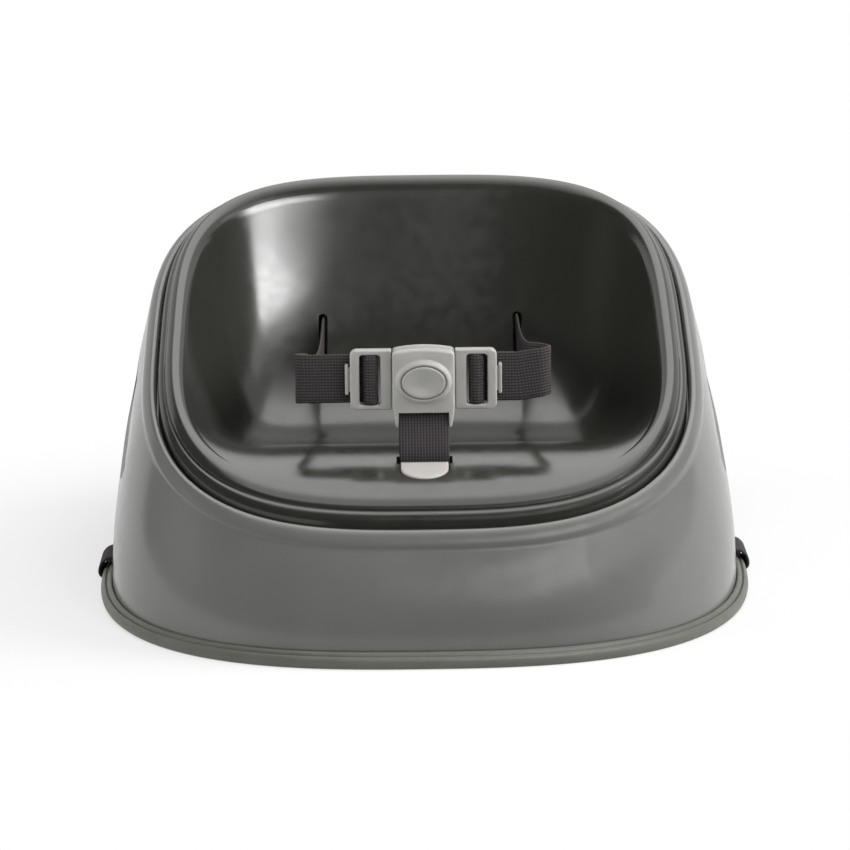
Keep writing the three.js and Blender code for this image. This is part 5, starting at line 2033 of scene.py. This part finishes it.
@dataclass
class Studio:
    """A pale floor, soft lamps, a white surround and the camera.

    Attributes:
        elevation: Height of the camera above the horizon, in degrees.
        azimuth: Turn of the camera towards +X, in degrees.
        roll: How far the picture's right side is turned up, in degrees.
        distance: Distance of the camera from the origin, in metres.
        focal_px: Focal length in pixels of the frame.
        origin_px: Where the origin falls in the frame before the roll.
        fill: Strength of the surround as light.
    """

    elevation: float = 17.0
    azimuth: float = -0.5
    roll: float = 0.6
    distance: float = 1.7
    focal_px: float = 3281.0
    origin_px: Span = (422.5, 568.0)
    fill: float = 0.12

    def camera(self) -> Obj:
        """Makes the camera at the photograph's viewing angle.

        Returns:
            The camera.
        """
        data = bpy.data.cameras.new("camera")
        data.sensor_width = 36.0
        data.lens = data.sensor_width * self.focal_px / FRAME_PX
        camera = new_object("camera", data)
        a, e = math.radians(self.azimuth), math.radians(self.elevation)
        back = Vector((math.sin(a) * math.cos(e), -math.cos(a) * math.cos(e), math.sin(e)))
        camera.location = back * self.distance
        aim = (-back).to_track_quat("-Z", "Y")
        right = (FRAME_PX / 2 - self.origin_px[0]) / self.focal_px
        up = (self.origin_px[1] - FRAME_PX / 2) / self.focal_px
        unrolled = (aim @ Vector((right, up, -1)).normalized()).to_track_quat("-Z", "Y")
        camera.rotation_mode = "QUATERNION"
        camera.rotation_quaternion = unrolled @ Quaternion((0, 0, 1), -math.radians(self.roll))
        bpy.context.scene.camera = camera
        return camera

    @staticmethod
    def seen(tree: Tree) -> Socket:
        """Gives 1 where the camera looks, directly, in a reflection or through something clear.

        Args:
            tree: The node tree.

        Returns:
            The value.
        """
        path = add_node(tree, "ShaderNodeLightPath")
        value = path.outputs["Is Camera Ray"]
        for ray in ("Is Transmission Ray", "Is Glossy Ray"):
            value = add_node(tree, "ShaderNodeMath", {"operation": "MAXIMUM"}, {
                0: value, 1: path.outputs[ray],
            }).outputs[0]
        return value

    def floor(self) -> Obj:
        """Makes the pale floor.

        Returns:
            The floor.
        """
        mesh = bpy.data.meshes.new("floor")
        size = 14.0
        mesh.from_pydata([
            (-size, -size, 0), (size, -size, 0), (size, size, 0), (-size, size, 0),
        ], [], [(0, 1, 2, 3)])
        floor = new_object("floor", mesh)
        material = bpy.data.materials.new("studio_paper")
        tree = empty_tree(material)
        paper = add_node(tree, "ShaderNodeBsdfDiffuse", {"Color": (0.8, 0.8, 0.8, 1), "Roughness": 0.0})
        glow = add_node(tree, "ShaderNodeEmission", {"Color": (1, 1, 1, 1), "Strength": 1.0})
        # To the camera and in reflections the paper runs out to plain white away from the seat
        place = add_node(tree, "ShaderNodeTexCoord").outputs["Object"]
        reach = add_node(tree, "ShaderNodeVectorMath", {"operation": "LENGTH"}, {0: place})
        far = add_node(tree, "ShaderNodeMapRange", {
            "From Min": 0.18, "From Max": 0.34, "To Min": 0.58, "To Max": 1.0,
        }, {"Value": reach.outputs["Value"]})
        share = add_node(tree, "ShaderNodeMath", {"operation": "MULTIPLY"}, {
            0: far.outputs["Result"], 1: self.seen(tree),
        })
        mix = add_node(tree, "ShaderNodeMixShader", links={
            0: share.outputs[0], 1: paper.outputs[0], 2: glow.outputs[0],
        })
        add_node(tree, "ShaderNodeOutputMaterial", links={"Surface": mix.outputs[0]})
        mesh.materials.append(material)
        return floor

    def surround(self) -> None:
        """Makes the world white for the camera and for reflections, and dimmer as light."""
        world = bpy.data.worlds.new("surround")
        bpy.context.scene.world = world
        tree = empty_tree(world)
        dim = add_node(tree, "ShaderNodeBackground", {"Color": (1, 1, 1, 1), "Strength": self.fill})
        white = add_node(tree, "ShaderNodeBackground", {"Color": (1, 1, 1, 1), "Strength": 1.0})
        mix = add_node(tree, "ShaderNodeMixShader", links={
            0: self.seen(tree), 1: dim.outputs[0], 2: white.outputs[0],
        })
        add_node(tree, "ShaderNodeOutputWorld", links={"Surface": mix.outputs[0]})

    @staticmethod
    def lamp(name: str, place: Sequence[float], size: Span, power: float) -> None:
        """Makes a soft rectangular lamp that faces the seat, and that no glossy surface shows.

        Args:
            name: The lamp's name.
            place: Where it hangs, in metres.
            size: Width and height in metres.
            power: Power in watts.
        """
        data = bpy.data.lights.new(name, "AREA")
        data.shape = "RECTANGLE"
        data.size, data.size_y = size
        data.energy = power
        lamp = new_object(name, data)
        lamp.location = place
        lamp.rotation_mode = "QUATERNION"
        lamp.rotation_quaternion = (Vector((0, 0, 0.1)) - Vector(place)).to_track_quat("-Z", "Y")
        lamp.visible_glossy = False

    @staticmethod
    def card(name: str, corners: Corners, kind: CardKind) -> None:
        """Makes a flat card that shows only in glossy surfaces.

        Args:
            name: The card's name.
            corners: Its corners in metres, in order round it.
            kind: What the card does.
        """
        mesh = bpy.data.meshes.new(name)
        mesh.from_pydata(corners, [], [tuple(range(len(corners)))])
        card = new_object(name, mesh)
        material = bpy.data.materials.new(name)
        tree = empty_tree(material)
        colour, strength = kind.value
        shader = add_node(tree, "ShaderNodeEmission", {"Color": linear(colour), "Strength": strength})
        if kind is CardKind.SILK:
            # Brightest a little behind the seat, dimmer over its front and far behind
            place = add_node(tree, "ShaderNodeTexCoord").outputs["Object"]
            split = add_node(tree, "ShaderNodeSeparateXYZ", links={"Vector": place})
            front = add_node(tree, "ShaderNodeMapRange", {
                "From Min": -0.5, "From Max": 0.45, "To Min": 1.0, "To Max": strength,
            }, {"Value": split.outputs["Y"]})
            behind = add_node(tree, "ShaderNodeMapRange", {
                "From Min": 0.3, "From Max": 3.4, "To Min": 4.2, "To Max": 1.4,
            }, {"Value": split.outputs["Y"]})
            glow = add_node(tree, "ShaderNodeMath", {"operation": "MINIMUM"}, {
                0: front.outputs["Result"], 1: behind.outputs["Result"],
            })
            tree.links.new(glow.outputs[0], shader.inputs["Strength"])
        add_node(tree, "ShaderNodeOutputMaterial", links={"Surface": shader.outputs[0]})
        mesh.materials.append(material)
        card.visible_camera = False
        card.visible_diffuse = False
        card.visible_shadow = False

    def build(self) -> None:
        """Builds the whole studio."""
        self.camera()
        self.floor()
        self.surround()
        # Place and size in metres, and watts
        for name, place, size, power in (
            ("key_softbox", (1.03, -1.32, 1.1), (1.25, 0.34), 3),
            ("right_softbox", (2.0, -0.15, 0.9), (1.2, 1.4), 66),
            ("left_softbox", (-2.0, -0.3, 0.8), (1.2, 1.4), 29),
            ("top_softbox", (0.2, -0.75, 2.0), (1.6, 1.0), 22),
        ):
            self.lamp(name, place, size, power)
        for name, corners, kind in (
            ("overhead_silk", level(-0.65, -0.7, 1.1, 3.4, 2.0), CardKind.SILK),
            ("right_reflector", wall((1.0, -0.5), (1.0, 0.1), 0.66, 1.2), CardKind.SOFT),
            ("softbox_front", wall((1.55, -0.72), (0.3, -1.7), 1.0, 1.42), CardKind.BRIGHT),
            ("near_flag", wall((-0.1, -0.3), (0.55, -0.3), 0.02, 0.43), CardKind.DARK),
            ("side_flag", wall((0.55, -0.3), (0.55, 0.15), 0.16, 0.565), CardKind.DARK),
            ("front_flag", wall((-3.2, -2.7), (1.2, -2.7), 0.05, 2.6), CardKind.DARK),
            ("left_flag", wall((-2.7, -2.7), (-2.7, 1.5), 0.05, 2.6), CardKind.DARK),
            ("right_flag", wall((2.7, -2.7), (2.7, 1.2), 0.45, 1.9), CardKind.DARK),
            ("left_ceiling_flag", level(-2.7, -0.7, -0.9, 1.5, 2.5), CardKind.DARK),
            ("front_ceiling_flag", level(-2.7, -2.7, 1.2, -0.7, 2.5), CardKind.DARK),
        ):
            self.card(name, corners, kind)
        LOG.info("studio ready")


# Assembly


def dress_node(node: str, finish: Finish, bevel: float = 0.0) -> None:
    """Gives a CAD node its finish, and softens its edges.

    Args:
        node: The node's name.
        finish: The finish of all its faces.
        bevel: Radius of the softened edges in millimetres, or 0 for none.
    """
    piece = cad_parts[node]
    piece.data.materials.clear()
    piece.data.materials.append(finish.material())
    if bevel > 0:
        soft = piece.modifiers.new("soft_edges", "BEVEL")
        soft.width = bevel * MM
        soft.segments = 2
        soft.limit_method = "ANGLE"
        soft.angle_limit = math.radians(40)
        soft.harden_normals = False
    LOG.info("%s dressed as %s", node, finish.name)


def seat_piece(piece: Obj, body: str, slot: str, *nodes: str) -> None:
    """Puts a new piece on its body, in place of CAD nodes.

    Args:
        piece: The piece.
        body: The CAD body that it rides on.
        slot: The record's material slot; not used.
        *nodes: The CAD nodes that it stands for.
    """
    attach(piece, body)
    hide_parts(*nodes)
    LOG.info("%s stands for %s, %d faces", piece.name, ", ".join(nodes), len(piece.data.polygons))


def bent_piece(strap: Obj, body: str, node: str) -> None:
    """Bakes a strap into place, running from the seat to a body that slides, in place of a CAD node.

    Args:
        strap: The strap.
        body: The sliding body at its far end, named only in the log.
        node: The CAD node that it stands for.
    """
    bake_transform(strap)
    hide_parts(node)
    LOG.info("%s bends between seat and %s, %d faces", strap.name, body, len(strap.data.polygons))


def screw_place(node: str, form: SeatForm) -> Span:
    """Finds where a screw's axis meets the rim plane, from its highest and lowest places.

    Args:
        node: The screw's node.
        form: The seat's outlines.

    Returns:
        x and y in millimetres.
    """
    low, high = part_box(node)
    lean = math.atan(form.tilt)
    head_radius, head_rise = 3.2, 13.4 * math.cos(lean) + 1.9
    y = high.y / MM - head_rise * math.sin(lean) - head_radius * math.cos(lean)
    return ((low.x + high.x) / 2 / MM, y)


def surface_depth(piece: Obj, x: float, z: float, start: float) -> float:
    """Finds where a level ray towards the back first meets a piece.

    Args:
        piece: The piece.
        x: The ray's x.
        z: The ray's height.
        start: The depth where the ray starts.

    Returns:
        The depth of the surface, in millimetres.
    """
    work = bmesh.new()
    work.from_mesh(piece.data)
    tree = BVHTree.FromBMesh(work)
    hit = tree.ray_cast(Vector((x, start, z)) * MM, Vector((0, 1, 0)))
    work.free()
    return hit[0].y / MM


def main() -> None:
    """Builds the studio and every piece, in order."""
    Studio().build()
    form = SeatForm()
    base = BaseShell(form, screw_places=[screw_place(f"pan_screw_{k}", form) for k in range(1, 5)])
    seat_piece(base.build(), "seat", "base_plastic", "base_shell")
    seat_piece(FootRing(form).build(), "seat", "ring_rubber", "foot_ring")
    liner_maker = SeatLiner(form)
    liner = liner_maker.build(base)
    seat_piece(liner, "seat", "liner_skin", "seat_liner")
    dress_node("seat_pan", PAN_FINISH)
    for k in range(1, 5):
        dress_node(f"pan_screw_{k}", STEEL_FINISH, 0.2)
    harness = Harness(
        form=form,
        liner_y=surface_depth(liner, liner_maker.slot_x + 6, liner_maker.slot_z, -40),
        keeper_y=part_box("waist_anchor_right")[1].y / MM,
    )
    for side in Side:
        name = side.word
        fold = (side * harness.slot_x * MM, (harness.first_y + 24) * MM, harness.slot_z * MM)
        bent_piece(harness.waist_strap(side), f"{name}_tongue", f"waist_strap_{name}")
        seat_piece(harness.tongue(side), f"{name}_tongue", "fitting_plastic", f"tongue_{name}")
        dress_node(f"waist_anchor_{name}", FITTING_FINISH, 0.4)
    seat_piece(harness.crotch_strap(), "seat", "webbing", "crotch_strap")
    seat_piece(harness.front_shell(), "seat", "fitting_plastic", "buckle_front_shell")
    seat_piece(harness.button(), "button", "button_plastic", "release_button")
    seat_piece(harness.crotch_anchor(), "seat", "plate_plastic", "crotch_anchor")
    seat_piece(harness.back_shell(), "seat", "fitting_plastic", "buckle_back_shell")
    spring = harness.spring()
    seat_piece(spring, "seat", "steel", "button_spring")
    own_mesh(spring)
    straps = ChairStraps(form)
    bent_piece(straps.strap(Side.LEFT), "plug", "chair_strap_left")
    seat_piece(straps.strap(Side.RIGHT), "seat", "webbing", "chair_strap_right")
    for half in ("socket", "plug"):
        dress_node(f"chair_buckle_{half}", DARK_FINISH, 0.3)
    bpy.context.scene.view_settings.view_transform = "Standard"
    bpy.context.view_layer.update()


if __name__ == "__main__":
    main()
